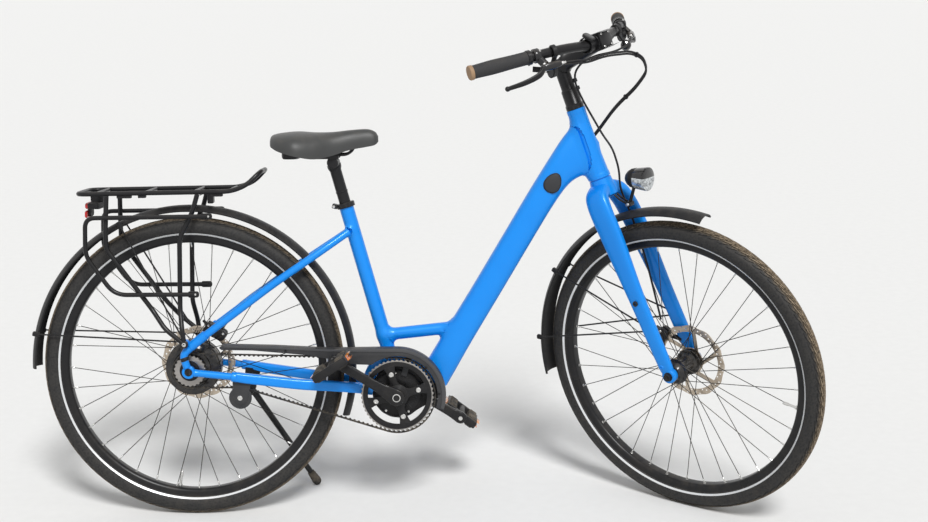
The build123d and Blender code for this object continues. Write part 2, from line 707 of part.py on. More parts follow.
def grips():
    out = []
    for side in (-1, 1):
        p, q = along_grip(side, 0.0), along_grip(side, 1.0)
        tip = q + 3 * (q - p).normalized()
        out.append(rod(p, tip, GRIP_R) - rod(p, q, BAR_R))
    return group(out)


def brake_levers():
    out = []
    bar = handlebar()
    for side in (-1, 1):
        a, b = along_grip(side, -0.14), along_grip(side, 1.0)
        way = (b - a).normalized()
        ring = rod(a, a + 14 * way, BAR_R + 5)
        house = rod(a + 7 * way + Vector(12, 0, -9), a + 7 * way + Vector(30, 0, -24), 10)
        root = a + 7 * way + Vector(30, 0, -24)
        tip = along_grip(side, 0.75) + Vector(32, 0, -48)
        blade = rod(root, tip, 6, 4.5)
        out.append(ring + house + blade - bar)
    return group(out)


def headlight():
    ahead = Vector(math.sin(HEAD), 0, math.cos(HEAD))
    seat = on_steer_axis(HEAD_LOW - 48) + (CROWN_DEPTH / 2 + SEAT) * ahead
    pin = seat + Vector(37, 0, -19)
    back = pin + Vector(-5, 0, 63)
    body = rod(back, back + Vector(60, 0, 2), 17, 27)
    foot = rod(seat, pin, 5) + along_y(pin.X, pin.Z, 7, -9, 9)
    return body + rod(pin, pin + Vector(15, 0, 51), 4) + foot - fork()


def front_fender_stays():
    out = []
    for degrees, z in ((148, 113), (177, 101)):
        hold = FRONT_AXLE + Vector(-60, -58, z)
        wire = rod(fender_edge(FRONT_AXLE, FENDER_R + 4, degrees), hold, WIRE_R)
        out += both(wire - fork())
    return group(out)


def front_caliper():
    place = Pos(FRONT_AXLE + Vector(-78, FRONT_ROTOR_Y + 2, 46))
    body = place * Rot(Y=-60) * Box(58, 26, 28)
    slot = along_y(WHEELBASE, WHEEL_R, ROTOR_R + 2, FRONT_ROTOR_Y - 3, FRONT_ROTOR_Y + 3)
    arm = rod(FRONT_AXLE + Vector(-72, 52, 53), FRONT_AXLE + Vector(-28, 58, 43), 6)
    return body - slot + arm - fork()


# Side stand

def stand_leg():
    foot = STAND_PIVOT + STAND_LEN * STAND_DOWN
    leg = rod(STAND_PIVOT, foot, STAND_R)
    half = STAND_HUB_HALF * STAND_AXIS
    hub = rod(STAND_PIVOT - half, STAND_PIVOT + half, STAND_HUB_R)
    return leg + hub + Pos(foot) * Sphere(FOOT_R)


# Standing on the floor

STEER_PLANE = Plane(origin=STEER_FOOT, z_dir=UP).location
STEERED = STEER_PLANE * Rot(Z=STEER_REST) * STEER_PLANE.inverse()
LEANED = Rot(X=-LEAN)


def moved(p, place):
    return (place * Pos(p)).position


def tyre_low(axle_point, place):
    # height of the lowest point of a round tyre whose wheel stands at `place`
    centre = moved(axle_point, place)
    side = moved(axle_point + Vector(0, 1, 0), place) - centre
    return centre.Z - TYRE_MID * math.sqrt(1 - side.Z ** 2) - TYRE_R


REAR_LOW = tyre_low(REAR_AXLE, LEANED)
FRONT_LOW = tyre_low(FRONT_AXLE, LEANED * STEERED)
PITCH = math.degrees(math.atan2(FRONT_LOW - REAR_LOW, WHEELBASE))
LEVEL = Rot(Y=PITCH) * LEANED
LIFT = -tyre_low(REAR_AXLE, LEVEL)
START_Z = moved(STAND_PIVOT, LEVEL).Z + LIFT
DROP = (moved(STAND_PIVOT + STAND_DOWN, LEVEL) - moved(STAND_PIVOT, LEVEL)).Z
STAND_LEN = (START_Z - FOOT_R) / -DROP

FRAME_NODES = {
    "head_tube": head_tube, "down_tube": down_tube, "seat_tube": seat_tube,
    "brace_tube": brace_tube, "seatstays": seatstays, "chainstays": chainstays,
    "motor": motor, "motor_cradle": motor_cradle, "seat_clamp": seat_clamp,
    "seatpost": seatpost, "saddle": saddle, "saddle_rails": saddle_rails,
    "rack_deck": rack_deck, "rack_legs": rack_legs, "rack_side_rails": side_rails,
    "rear_fender": rear_fender, "rear_fender_stays": rear_fender_stays,
    "tail_lamp": tail_lamp, "belt_guard": belt_guard, "drive_belt": drive_belt,
    "belt_tensioner": belt_tensioner, "rear_caliper": rear_caliper,
    "stand_bracket": stand_bracket,
    "rear_tyre": lambda: tyre(REAR_AXLE), "rear_rim": lambda: rim(REAR_AXLE),
    "rear_spokes": lambda: spokes(REAR_AXLE, REAR_FLANGE_R, REAR_FLANGE_Y, REAR_LEAD),
    "rear_hub": lambda: hub(REAR_AXLE, REAR_OLD, REAR_FLANGE_R, REAR_FLANGE_Y, REAR_SHELL_R, SHELL_HALF),
    "rear_axle": lambda: axle(REAR_AXLE, REAR_OLD, DROPOUT_T),
    "rear_rotor": lambda: rotor(REAR_AXLE, REAR_ROTOR_Y, AXLE_R + 3),
    "rear_cog": cog,
    "chainring": chainring, "cranks": cranks,
    "pedal_right": lambda: pedal(1, 32), "pedal_left": lambda: pedal(-1, -37),
    "stand_leg": stand_leg,
}
STEERED_NODES = {
    "fork": fork, "fork_bosses": fork_bosses, "stem": stem, "handlebar": handlebar, "grips": grips,
    "brake_levers": brake_levers, "headlight": headlight, "front_fender": front_fender,
    "front_fender_stays": front_fender_stays, "front_caliper": front_caliper,
    "front_tyre": lambda: tyre(FRONT_AXLE), "front_rim": lambda: rim(FRONT_AXLE),
    "front_spokes": lambda: spokes(FRONT_AXLE, FRONT_FLANGE_R, FRONT_FLANGE_Y, FRONT_LEAD),
    "front_hub": lambda: hub(FRONT_AXLE, FRONT_OLD, FRONT_FLANGE_R, FRONT_FLANGE_Y, FRONT_HUB_R, 0),
    "front_axle": lambda: axle(FRONT_AXLE, FRONT_OLD, 14),
    "front_rotor": lambda: rotor(FRONT_AXLE, FRONT_ROTOR_Y, AXLE_R + 3),
}


def build():
    shapes = {}
    for name, make in FRAME_NODES.items():
        shapes[name] = make().moved(LEVEL)
    for name, make in STEERED_NODES.items():
        shapes[name] = make().moved(LEVEL * STEERED)
    boxes = [s.bounding_box() for s in shapes.values()]
    x = (min(b.min.X for b in boxes) + max(b.max.X for b in boxes)) / 2
    y = (min(b.min.Y for b in boxes) + max(b.max.Y for b in boxes)) / 2
    centre = Pos(-x, -y, LIFT)
    return {name: s.moved(centre) for name, s in shapes.items()}, centre


os.makedirs("parts", exist_ok=True)
SHAPES, CENTRED = build()
for node, shape in SHAPES.items():
    export_step(shape, f"parts/{node}.step")
print("moved to the box's bottom centre by", CENTRED.position)
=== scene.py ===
# %% [markdown]
# # An electric city bike on its side stand
# The bike's construction comes from a CAD model: every tube, wheel and bracket is already there
# as a plain solid, standing as the bike parks. This script gives it its looks. Some solids only
# get a better material, and most are replaced by a finer mesh that stands in the same place.

# %% Load the CAD model
import json
import math

import bmesh
import bpy
import numpy as np
from mathutils import Matrix


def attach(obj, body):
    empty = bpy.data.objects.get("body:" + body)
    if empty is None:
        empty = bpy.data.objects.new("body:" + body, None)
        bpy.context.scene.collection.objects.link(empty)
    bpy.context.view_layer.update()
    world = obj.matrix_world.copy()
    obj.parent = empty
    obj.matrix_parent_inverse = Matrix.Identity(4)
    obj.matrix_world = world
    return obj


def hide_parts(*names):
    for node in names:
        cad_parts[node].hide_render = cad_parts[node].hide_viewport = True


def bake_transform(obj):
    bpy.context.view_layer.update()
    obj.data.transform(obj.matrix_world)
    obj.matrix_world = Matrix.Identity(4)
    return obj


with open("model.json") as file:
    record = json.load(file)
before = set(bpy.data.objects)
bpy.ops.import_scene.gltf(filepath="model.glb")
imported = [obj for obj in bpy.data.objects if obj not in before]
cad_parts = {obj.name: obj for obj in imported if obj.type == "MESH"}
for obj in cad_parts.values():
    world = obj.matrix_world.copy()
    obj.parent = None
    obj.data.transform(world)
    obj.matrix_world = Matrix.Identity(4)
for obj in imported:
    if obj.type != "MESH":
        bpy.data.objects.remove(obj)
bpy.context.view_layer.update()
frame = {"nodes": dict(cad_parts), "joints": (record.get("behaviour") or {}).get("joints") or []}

joints = {joint["name"]: joint for joint in frame["joints"]}

# %% [markdown]
# ## A drawing board for the bike
# A frame builder draws a bike upright, steering straight, in millimetres: X forward from the rear
# axle, Y to the rider's left, Z up from the ground. The real bike then leans on its stand with
# the bars turned. All shapes here are drawn upright, and one function parks them. The lean and
# the two axes are read from the CAD joints, so that nothing has to be fitted by eye.

# %% From the drawing board to the parked bike
MM = 0.001
WHEELBASE = 1176.0
WHEEL_R = 361.0
HEAD_ANGLE = math.radians(70.75)
STEER_REST = math.radians(-37.7)
FORK_OFFSET = 45.0
REAR_AXLE = np.array([0.0, 0.0, WHEEL_R])
FRONT_AXLE = np.array([WHEELBASE, 0.0, WHEEL_R])
AXLES = {"rear": REAR_AXLE, "front": FRONT_AXLE}
UP = np.array([-math.cos(HEAD_ANGLE), 0.0, math.sin(HEAD_ANGLE)])
AHEAD = np.array([math.sin(HEAD_ANGLE), 0.0, math.cos(HEAD_ANGLE)])
STEER_FOOT = FRONT_AXLE - FORK_OFFSET * AHEAD
STEERED_BODIES = ("steering", "front_wheel")


def turn_about(axis, angle):
    """Rotation matrix: the identity, plus the sine times the axis' cross-product matrix,
    plus one minus the cosine times that matrix squared."""
    x, y, z = np.asarray(axis, float) / np.linalg.norm(axis)
    cross = np.array([[0, -z, y], [z, 0, -x], [-y, x, 0]])
    return np.eye(3) + math.sin(angle) * cross + (1 - math.cos(angle)) * cross @ cross


rear_joint, steer_joint = joints["rear_wheel_spin"], joints["steering_turn"]
LEAN = math.atan2(-rear_joint["axis"][2], rear_joint["axis"][1])
lean_turn = turn_about((1, 0, 0), -LEAN)
steer_turn = turn_about(steer_joint["axis"], STEER_REST)


def parked(points, steered=False):
    """Drawing points become scene points: the lean's matrix times the offset from the rear axle,
    plus where the CAD has that axle. Steered points then turn about the CAD's steering axis."""
    place = (np.asarray(points, float) - REAR_AXLE) * MM @ lean_turn.T + rear_joint["pos_m"]
    if steered:
        pivot = np.array(steer_joint["pos_m"])
        place = (place - pivot) @ steer_turn.T + pivot
    return place


def on_steer_axis(t):
    """The point t millimetres up the steering axis, from abeam the front axle."""
    return STEER_FOOT + t * UP


gap = np.linalg.norm(parked(FRONT_AXLE, True) - joints["front_wheel_spin"]["pos_m"]) / MM
print(f"lean {math.degrees(LEAN):.2f} degrees, front axle {gap:.2f} mm from its CAD joint")

# %% [markdown]
# ## Shapes from grids
# A tube, a tyre or a lamp can be carved by hand from a primitive, but a formula is easier to
# correct. Each shape here is a grid of points worked out by numpy in one go, and a list of faces
# that joins neighbouring points. A shape is the pair (points, faces), in drawing millimetres.

# %% Grids, joins and mirrors
FULL = 2 * math.pi


def grid(points, wrap_rows=False, caps=False):
    """Four-sided faces between neighbouring rows and columns of a (rows, columns, 3) array. Each
    row is closed on itself. `wrap_rows` joins the last row to the first, and `caps` closes each
    of the two with one face."""
    rows, columns = points.shape[:2]
    index = np.arange(rows * columns).reshape(rows, columns)
    ends = [index[0, ::-1].tolist(), index[-1].tolist()]
    if wrap_rows:
        index = np.vstack([index, index[:1]])
    index = np.hstack([index, index[:, :1]])
    corners = [index[:-1, :-1], index[1:, :-1], index[1:, 1:], index[:-1, 1:]]
    faces = np.stack(corners, -1).reshape(-1, 4).tolist()
    return points.reshape(-1, 3), faces + ends if caps else faces


def joined(*shapes):
    """Several shapes as one: their points in a row, and each face's numbers moved on."""
    starts = np.cumsum([0] + [len(points) for points, faces in shapes])
    faces = [[i + int(start) for i in face] for (_, own), start in zip(shapes, starts) for face in own]
    return np.vstack([points for points, _ in shapes]), faces


def mirrored(shape):
    """The same shape on the bike's other side: Y changes its sign."""
    points, faces = shape
    return points * (1, -1, 1), [face[::-1] for face in faces]


def pair(shape):
    return joined(shape, mirrored(shape))


def turned_y(shape, degrees, centre):
    """A shape turned about a line along Y through `centre`, nose up for positive degrees."""
    points, faces = shape
    turn = turn_about((0, 1, 0), -math.radians(degrees))
    centre = np.asarray(centre, float)
    return (points - centre) @ turn.T + centre, faces


def unit(vectors):
    vectors = np.asarray(vectors, float)
    return vectors / np.linalg.norm(vectors, axis=-1, keepdims=True)


def polar(centre, degrees, r, y=0.0):
    """The point at an angle and a radius from `centre` in the side view, moved y to the left."""
    t = math.radians(degrees)
    return np.asarray(centre, float) + (r * math.cos(t), y, r * math.sin(t))


def squared(values, power):
    """The values' sizes raised to a power, with their signs kept. This makes a superellipse's
    cosine and sine from a circle's."""
    return np.sign(values) * np.abs(values) ** power


print("a grid of 3 rows and 4 columns has", len(grid(np.zeros((3, 4, 3)))[1]), "faces")


# %% [markdown]
# ## Tubes, turned pieces and cut plates
# Most of a bicycle is made in three ways. A tube is a ring carried along a path, a hub or a bolt
# is turned on a lathe, and a rotor or a chainring is cut from plate. A few helpers copy these
# ways of working. A bent path comes from a few corners, each rounded by a quadratic curve.

# %% Three ways of making
def rounded(corners, share=0.45, steps=9):
    """A path whose corners are quadratic curves: (1-t)^2 A + 2t(1-t) B + t^2 C, where A and C lie
    on the runs beside corner B, `share` of the shorter run away from it."""
    p = np.asarray(corners, float)
    runs = np.linalg.norm(np.diff(p, axis=0), axis=1)
    reach = share * np.minimum(runs[:-1], runs[1:])[:, None]
    start = p[1:-1] + reach * unit(p[:-2] - p[1:-1])
    end = p[1:-1] + reach * unit(p[2:] - p[1:-1])
    t = np.linspace(0, 1, steps)[None, :, None]
    bends = (1 - t) ** 2 * start[:, None] + 2 * t * (1 - t) * p[1:-1, None] + t ** 2 * end[:, None]
    return np.vstack([p[:1], bends.reshape(-1, 3), p[-1:]])


def even(path, step):
    """The same path with points about `step` apart, by interpolating along its length."""
    path = np.asarray(path, float)
    length = np.concatenate([[0], np.cumsum(np.linalg.norm(np.diff(path, axis=0), axis=1))])
    keep = np.concatenate([[True], np.diff(length) > 1e-6])
    at = np.linspace(0, length[-1], max(2, int(length[-1] / step) + 1))
    return np.stack([np.interp(at, length[keep], path[keep, i]) for i in range(3)], -1)


def tube(path, radius, across=None, sides=20, side=None, power=2.0):
    """Rings about a path. Each ring is a superellipse: |cos|^(2/power) and |sin|^(2/power) with
    their signs, times the two half widths. `side` is the direction of the second half width. By
    default it is the one that the path's directions keep most clear of."""
    path = np.asarray(path, float)
    tangent = unit(np.gradient(path, axis=0))
    if side is None:
        side = np.linalg.svd(tangent)[2][-1]
    first = unit(np.cross(tangent, side))
    second = np.cross(first, tangent)
    angle = np.linspace(0, FULL, sides, endpoint=False)
    c, s = squared(np.cos(angle), 2 / power), squared(np.sin(angle), 2 / power)
    radius = np.broadcast_to(radius, len(path))[:, None, None]
    across = radius if across is None else np.broadcast_to(across, len(path))[:, None, None]
    rings = path[:, None] + radius * c[:, None] * first[:, None] + across * s[:, None] * second[:, None]
    return grid(rings, caps=True)


def rod(corners, r, step=2.0, sides=20, **section):
    """A tube that runs straight from corner to corner."""
    return tube(even(corners, step), r, sides=sides, **section)


def bent_tube(corners, r, step=2.5, sides=14, share=0.45):
    """A tube through corners that are rounded first."""
    return tube(even(rounded(corners, share), step), r, sides=sides)


def turned(start, direction, profile, sides=32, ring=False):
    """A turned piece: a profile of (distance along the axis, radius) spun about the axis. `ring`
    closes the profile on itself, as for a tyre."""
    profile = np.asarray(profile, float)
    axis = unit(direction)
    first = unit(np.cross(axis, (0.31, 0.12, 0.94) if abs(axis[2]) < 0.9 else (1, 0, 0)))
    second = np.cross(axis, first)
    angle = np.linspace(0, FULL, sides, endpoint=False)[:, None]
    out = np.cos(angle) * first + np.sin(angle) * second
    rings = np.asarray(start, float) + profile[:, 0, None, None] * axis + profile[:, 1, None, None] * out
    return grid(rings, wrap_rows=ring, caps=not ring)


def clamp_ring(start, way, bore, r, length, edge=1.0, drop=0.8, sides=32):
    """A ring round a tube, its outer edges taken off by `edge` along and `drop` across."""
    outside = [(0, r - drop), (edge, r), (length - edge, r), (length, r - drop)]
    return turned(start, way, [(0, bore), *outside, (length, bore)], sides, ring=True)


def peg(start, way, r, length, edge, drop, sides=24):
    """A short round bar, its edges taken off at both ends."""
    return turned(start, way, [(0, r - drop), (edge, r), (length - edge, r), (length, r - drop)], sides)


def both_ways(half):
    """A profile that starts in the middle, with its mirror image put before it."""
    return [(-y, r) for y, r in reversed(half[1:])] + half


def inset(outline, depth):
    """A closed outline moved inwards by `depth`, each point along the mean of its two normals."""
    p = np.asarray(outline, float)
    edge = unit(np.roll(p, -1, 0) - p)
    area = np.sum(p[:, 0] * np.roll(p[:, 1], -1) - np.roll(p[:, 0], -1) * p[:, 1])
    normal = np.sign(area) * np.stack([-edge[:, 1], edge[:, 0]], -1)
    mean = normal + np.roll(normal, 1, 0)
    return p + depth * mean / np.maximum(0.5 * np.sum(mean ** 2, -1, keepdims=True), 0.3)


def plate(outlines, y1, y2, edge=0.5):
    """A plate cut to flat outlines in X and Z, the first outside and the rest holes, from y1 to
    y2. Blender fills the flat curve and rounds its edges by `edge`."""
    curve = bpy.data.curves.new("outline", "CURVE")
    curve.dimensions, curve.fill_mode = "2D", "BOTH"
    curve.extrude, curve.bevel_depth = abs(y2 - y1) / 2 - edge, edge
    curve.bevel_resolution = 1
    for i, outline in enumerate(outlines):
        points = inset(outline, edge if i == 0 else -edge)
        spline = curve.splines.new("POLY")
        spline.points.add(len(points) - 1)
        flat = np.column_stack([points, np.zeros(len(points)), np.ones(len(points))])
        spline.points.foreach_set("co", flat.ravel())
        spline.use_cyclic_u = True
    holder = bpy.data.objects.new("outline", curve)
    mesh = bpy.data.meshes.new_from_object(holder)
    co = np.empty(len(mesh.vertices) * 3)
    mesh.vertices.foreach_get("co", co)
    co = co.reshape(-1, 3)
    faces = [list(face.vertices) for face in mesh.polygons]
    bpy.data.objects.remove(holder)
    bpy.data.curves.remove(curve)
    bpy.data.meshes.remove(mesh)
    return np.column_stack([co[:, 0], (y1 + y2) / 2 + co[:, 2], co[:, 1]]), faces


def circle(x, z, r, sides=48):
    t = np.linspace(0, FULL, sides, endpoint=False)
    return np.column_stack([x + r * np.cos(t), z + r * np.sin(t)])


def soft_outline(corners, share=0.3, steps=6):
    """A closed outline with rounded corners: the path through its corners, closed."""
    p = np.asarray(corners, float)
    p = np.column_stack([p[:, 0], np.zeros(len(p)), p[:, 1]])
    start = (p[-1] + p[0]) / 2
    path = rounded(np.vstack([start, p, start]), share, steps)[:-1]
    return path[:, [0, 2]]


def block(centre, size, corner=3.0, edge=1.0, tilt=0.0):
    """A box with rounded corners seen from the side, `tilt` degrees nose up."""
    x, y, z = centre
    w, d, h = size
    left, right, low, high = x - w / 2, x + w / 2, z - h / 2, z + h / 2
    share = min(0.49, corner * 1.2 / min(w, h))
    outline = soft_outline([(left, low), (right, low), (right, high), (left, high)], share, 5)
    return turned_y(plate([outline], y - d / 2, y + d / 2, edge), tilt, centre)


def bolt(at, direction, r, height=3.0, sides=20):
    """A round bolt head with a socket, standing on `at`."""
    h = height
    profile = [(-1.0, r), (0.7 * h, r), (h, 0.8 * r), (h, 0.5 * r), (0.35 * h, 0.44 * r), (0.35 * h, 0)]
    return turned(at, direction, profile, sides)


print("a bolt head has", len(bolt((0, 0, 0), (0, 0, 1), 4)[1]), "faces")


# %% [markdown]
# ## Putting a piece on the bike
# One function turns a shape into a Blender object: it parks the points, sets the faces to point
# outwards, shades it smooth except at real edges, and tells the frame which body carries it.
# It also keeps each point's drawing place in an attribute named home, so that a material
# can follow a wheel or a grip although the bike leans.

# %% The function that makes a piece
MERGE_WITHIN = 0.01  # millimetres
made = []


def put(name, shape, body, material, replaces=(), smooth=38.0, rides=True):
    """Makes the mesh `name` of a shape, riding on a CAD body and standing for CAD nodes."""
    points, faces = shape
    mesh = bpy.data.meshes.new(name)
    mesh.from_pydata(parked(points, body in STEERED_BODIES).tolist(), [], faces)
    home = mesh.attributes.new("home", "FLOAT_VECTOR", "POINT")
    home.data.foreach_set("vector", (np.asarray(points, float) * MM).ravel())
    work = bmesh.new()
    work.from_mesh(mesh)
    bmesh.ops.remove_doubles(work, verts=work.verts, dist=MERGE_WITHIN * MM)
    bmesh.ops.recalc_face_normals(work, faces=work.faces)
    work.to_mesh(mesh)
    work.free()
    mesh.polygons.foreach_set("use_smooth", [True] * len(mesh.polygons))
    mesh.set_sharp_from_angle(angle=math.radians(smooth))
    mesh.materials.append(material)
    piece = bpy.data.objects.new(name, mesh)
    bpy.context.scene.collection.objects.link(piece)
    if rides:
        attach(piece, body)
    if replaces:
        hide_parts(*replaces)
    made.append((name, len(mesh.polygons)))
    return piece


# %% [markdown]
# ## Camera, floor and light
# The camera stands where the photograph was taken: its place, turn and focal length were fitted
# to the two wheel rims and the frame. The light is a plain studio: one wide soft lamp like a big
# window, a pale sky all round, and a pale floor that runs out of the picture.

# %% Camera
SENSOR_W = 36.0
CAMERA_AT = (0.1921, -3.5775, 1.5165)
CAMERA_YAW, CAMERA_PITCH, CAMERA_ROLL = 1.28, -14.35, 0.752
FOCAL_PX, PHOTO_W = 1544.0, 928

lens = bpy.data.cameras.new("camera")
lens.sensor_width = SENSOR_W
lens.lens = FOCAL_PX / PHOTO_W * SENSOR_W
camera = bpy.data.objects.new("camera", lens)
camera_turn = (Matrix.Rotation(math.radians(CAMERA_YAW), 4, "Z")
               @ Matrix.Rotation(math.radians(90 + CAMERA_PITCH), 4, "X")
               @ Matrix.Rotation(math.radians(-CAMERA_ROLL), 4, "Z"))
camera.matrix_world = Matrix.Translation(CAMERA_AT) @ camera_turn
bpy.context.scene.collection.objects.link(camera)
bpy.context.scene.camera = camera
bpy.context.scene.view_settings.view_transform = "Standard"
print(f"lens {lens.lens:.1f} mm")

# %% Floor, sky and lamp
FLOOR_SIZE = 60.0
SUN_ANGLE = 16.0
SUN_TILT = (38.0, 14.0, 0.0)
SUN_STRENGTH = 2.7
SKY_STRENGTH = 0.42


def shader_tree(owner):
    owner.use_nodes = True
    owner.node_tree.nodes.clear()
    return owner.node_tree


def fed(new, inputs):
    """Sets a node's inputs, by their names or numbers: an output is linked, a value is set."""
    for key, value in inputs.items():
        if isinstance(value, bpy.types.NodeSocket):
            new.id_data.links.new(value, new.inputs[key])
        else:
            new.inputs[key].default_value = value
    return new


def node(tree, kind, inputs=None, **settings):
    """Adds a shader node."""
    new = tree.nodes.new("ShaderNode" + kind)
    for key, value in settings.items():
        setattr(new, key, value)
    return fed(new, inputs or {})


def calc(tree, operation, *values):
    """A Math node's output."""
    return node(tree, "Math", dict(enumerate(values)), operation=operation).outputs[0]


def ramp(tree, value, low, high):
    """0 where the value is `low`, 1 where it is `high`, even between them and level beyond."""
    return node(tree, "MapRange", {"Value": value, "From Min": low, "From Max": high}).outputs[0]


def noise(tree, place, scale, detail, **more):
    return node(tree, "TexNoise", {"Vector": place, "Scale": scale, "Detail": detail, **more}).outputs["Fac"]


def mix(tree, amount, one, other):
    return node(tree, "MixRGB", {0: amount, 1: one, 2: other}).outputs[0]


world = bpy.data.worlds.new("studio")
bpy.context.scene.world = world
sky = shader_tree(world)
ray = node(sky, "LightPath").outputs
seen = calc(sky, "MAXIMUM", ray["Is Camera Ray"], ray["Is Glossy Ray"])
seen = calc(sky, "MAXIMUM", seen, ray["Is Transmission Ray"])
strength = calc(sky, "MULTIPLY_ADD", seen, 1.0 - SKY_STRENGTH, SKY_STRENGTH)
shine = node(sky, "Background", {"Color": (1, 1, 1, 1), "Strength": strength})
node(sky, "OutputWorld", {"Surface": shine.outputs[0]})

sun = bpy.data.lights.new("window", "SUN")
sun.energy, sun.angle = SUN_STRENGTH, math.radians(SUN_ANGLE)
window = bpy.data.objects.new("window", sun)
window.rotation_euler = [math.radians(angle) for angle in SUN_TILT]
bpy.context.scene.collection.objects.link(window)

floor_material = bpy.data.materials.new("pale_floor")
tree = shader_tree(floor_material)
mottle = noise(tree, node(tree, "TexCoord").outputs["Object"], 35.0, 4.0)
tint = mix(tree, mottle, (0.78, 0.78, 0.77, 1), (0.83, 0.83, 0.82, 1))
skin = node(tree, "BsdfPrincipled", {"Base Color": tint, "Roughness": 0.7})
node(tree, "OutputMaterial", {"Surface": skin.outputs[0]})
half = FLOOR_SIZE / 2
floor_corners = [(-half, -half, 0), (half, -half, 0), (half, half, 0), (-half, half, 0)]
floor_mesh = bpy.data.meshes.new("floor")
floor_mesh.from_pydata(floor_corners, [], [(0, 1, 2, 3)])
floor_mesh.materials.append(floor_material)
floor = bpy.data.objects.new("floor", floor_mesh)
bpy.context.scene.collection.objects.link(floor)
print("floor:", FLOOR_SIZE, "m across, lamp:", SUN_STRENGTH, "sky:", SKY_STRENGTH)

# %% [markdown]
# ## Effects that the finishes share
# Real surfaces differ in small ways: moulded plastic has a fine grain, dust settles on what
# faces up and near the ground, and edges rub bright. Each effect is built once as a node group
# with named inputs, and every finish places it with its own values.

# %% Shared shader groups
def shader_group(name, inputs, outputs):
    """An empty node group with its sockets, and its input and output nodes."""
    tree = bpy.data.node_groups.new(name, "ShaderNodeTree")
    for label, kind, value in inputs:
        socket = tree.interface.new_socket(label, in_out="INPUT", socket_type="NodeSocket" + kind)
        if value is not None:
            socket.default_value = value
    for label, kind in outputs:
        tree.interface.new_socket(label, in_out="OUTPUT", socket_type="NodeSocket" + kind)
    return tree, tree.nodes.new("NodeGroupInput").outputs, tree.nodes.new("NodeGroupOutput").inputs


grain_group, given, result = shader_group(
    "grain", [("Place", "Vector", None), ("Scale", "Float", 900.0), ("Depth", "Float", 0.2)],
    [("Normal", "Vector")])
fine = noise(grain_group, given["Place"], given["Scale"], 5.0)
bump = node(grain_group, "Bump", {"Strength": given["Depth"], "Distance": 0.0008, "Height": fine})
grain_group.links.new(bump.outputs[0], result["Normal"])

dust_group, given, result = shader_group(
    "dust", [("Place", "Vector", None), ("Amount", "Float", 0.3), ("Low", "Float", 0.6)], [("Mask", "Float")])
facing = node(dust_group, "SeparateXYZ", {0: node(dust_group, "NewGeometry").outputs["Normal"]}).outputs["Z"]
height = node(dust_group, "SeparateXYZ", {0: given["Place"]}).outputs["Z"]
low_down = calc(dust_group, "MULTIPLY", given["Low"], ramp(dust_group, height, 0.7, 0.0))
patch = ramp(dust_group, noise(dust_group, given["Place"], 38.0, 8.0, Roughness=0.65), 0.42, 0.72)
lying = calc(dust_group, "ADD", ramp(dust_group, facing, 0.2, 1.0), low_down)
lying = calc(dust_group, "MULTIPLY", lying, patch)
dust_group.links.new(calc(dust_group, "MULTIPLY", lying, given["Amount"]), result["Mask"])

wear_group, given, result = shader_group(
    "edge_wear", [("Place", "Vector", None), ("Amount", "Float", 0.5)], [("Mask", "Float")])
edge = ramp(wear_group, node(wear_group, "NewGeometry").outputs["Pointiness"], 0.53, 0.62)
rub = ramp(wear_group, noise(wear_group, given["Place"], 160.0, 6.0), 0.45, 0.65)
rubbed = calc(wear_group, "MULTIPLY", edge, rub)
wear_group.links.new(calc(wear_group, "MULTIPLY", rubbed, given["Amount"]), result["Mask"])
print("shader groups:", [tree.name for tree in (grain_group, dust_group, wear_group)])

# %% [markdown]
# ## Finishes
# A finish is one Principled shader. Its colour mixes two near tones by a soft cloud, then dust
# and rubbed edges go over it. Paint also has a clear coat, bare steel is metallic, and moulded
# plastic takes most of its look from its grain. One function builds them all.

# %% A function for the common finishes
DUST_TONE = (0.30, 0.25, 0.19, 1)
RUBBED_TONE = (0.12, 0.12, 0.12, 1)
COAT_ROUGHNESS = 0.12


def use_group(tree, group, inputs):
    new = tree.nodes.new("ShaderNodeGroup")
    new.node_tree = group
    return fed(new, inputs).outputs


def finish(name, slot, tones, rough, metallic=0.0, grain=(900.0, 0.15), dust=0.2, low=0.5,
           wear=0.0, coat=0.0, specular=0.25):
    """The common finish. `tones` is a pair of near tones, or a function of the tree and the place
    that gives the base colour. `grain` is the fine texture's scale and depth."""
    material = bpy.data.materials.new(name)
    material["slot"] = slot
    tree = shader_tree(material)
    place = node(tree, "TexCoord").outputs["Object"]
    cloud = noise(tree, place, 14.0, 6.0)
    base = tones(tree, place) if callable(tones) else mix(tree, cloud, *((*tone, 1) for tone in tones))
    fine = use_group(tree, grain_group, {"Place": place, "Scale": grain[0], "Depth": grain[1]})
    if wear:
        rubbed = use_group(tree, wear_group, {"Place": place, "Amount": wear})["Mask"]
        base = mix(tree, rubbed, base, RUBBED_TONE)
    lying = use_group(tree, dust_group, {"Place": place, "Amount": dust, "Low": low})["Mask"]
    base = mix(tree, lying, base, DUST_TONE)
    spread = calc(tree, "MULTIPLY_ADD", cloud, 0.16, rough - 0.08)
    duller = calc(tree, "MULTIPLY_ADD", lying, 0.35, spread)
    skin = node(tree, "BsdfPrincipled", {
        "Base Color": base, "Roughness": duller, "Metallic": metallic, "Normal": fine["Normal"],
        "Coat Weight": coat, "Coat Roughness": COAT_ROUGHNESS, "Specular IOR Level": specular})
    node(tree, "OutputMaterial", {"Surface": skin.outputs[0]})
    return material


def painted_facet_light(scale, light, dark):
    """Tones for a moulded reflector, in painted light: each cell goes from a painted glint in its middle to
    painted shade at its edge.
    """
    def tones(tree, place):
        facets = node(tree, "TexVoronoi", {"Vector": place, "Scale": scale}).outputs["Distance"]
        return mix(tree, facets, light, dark)
    return tones


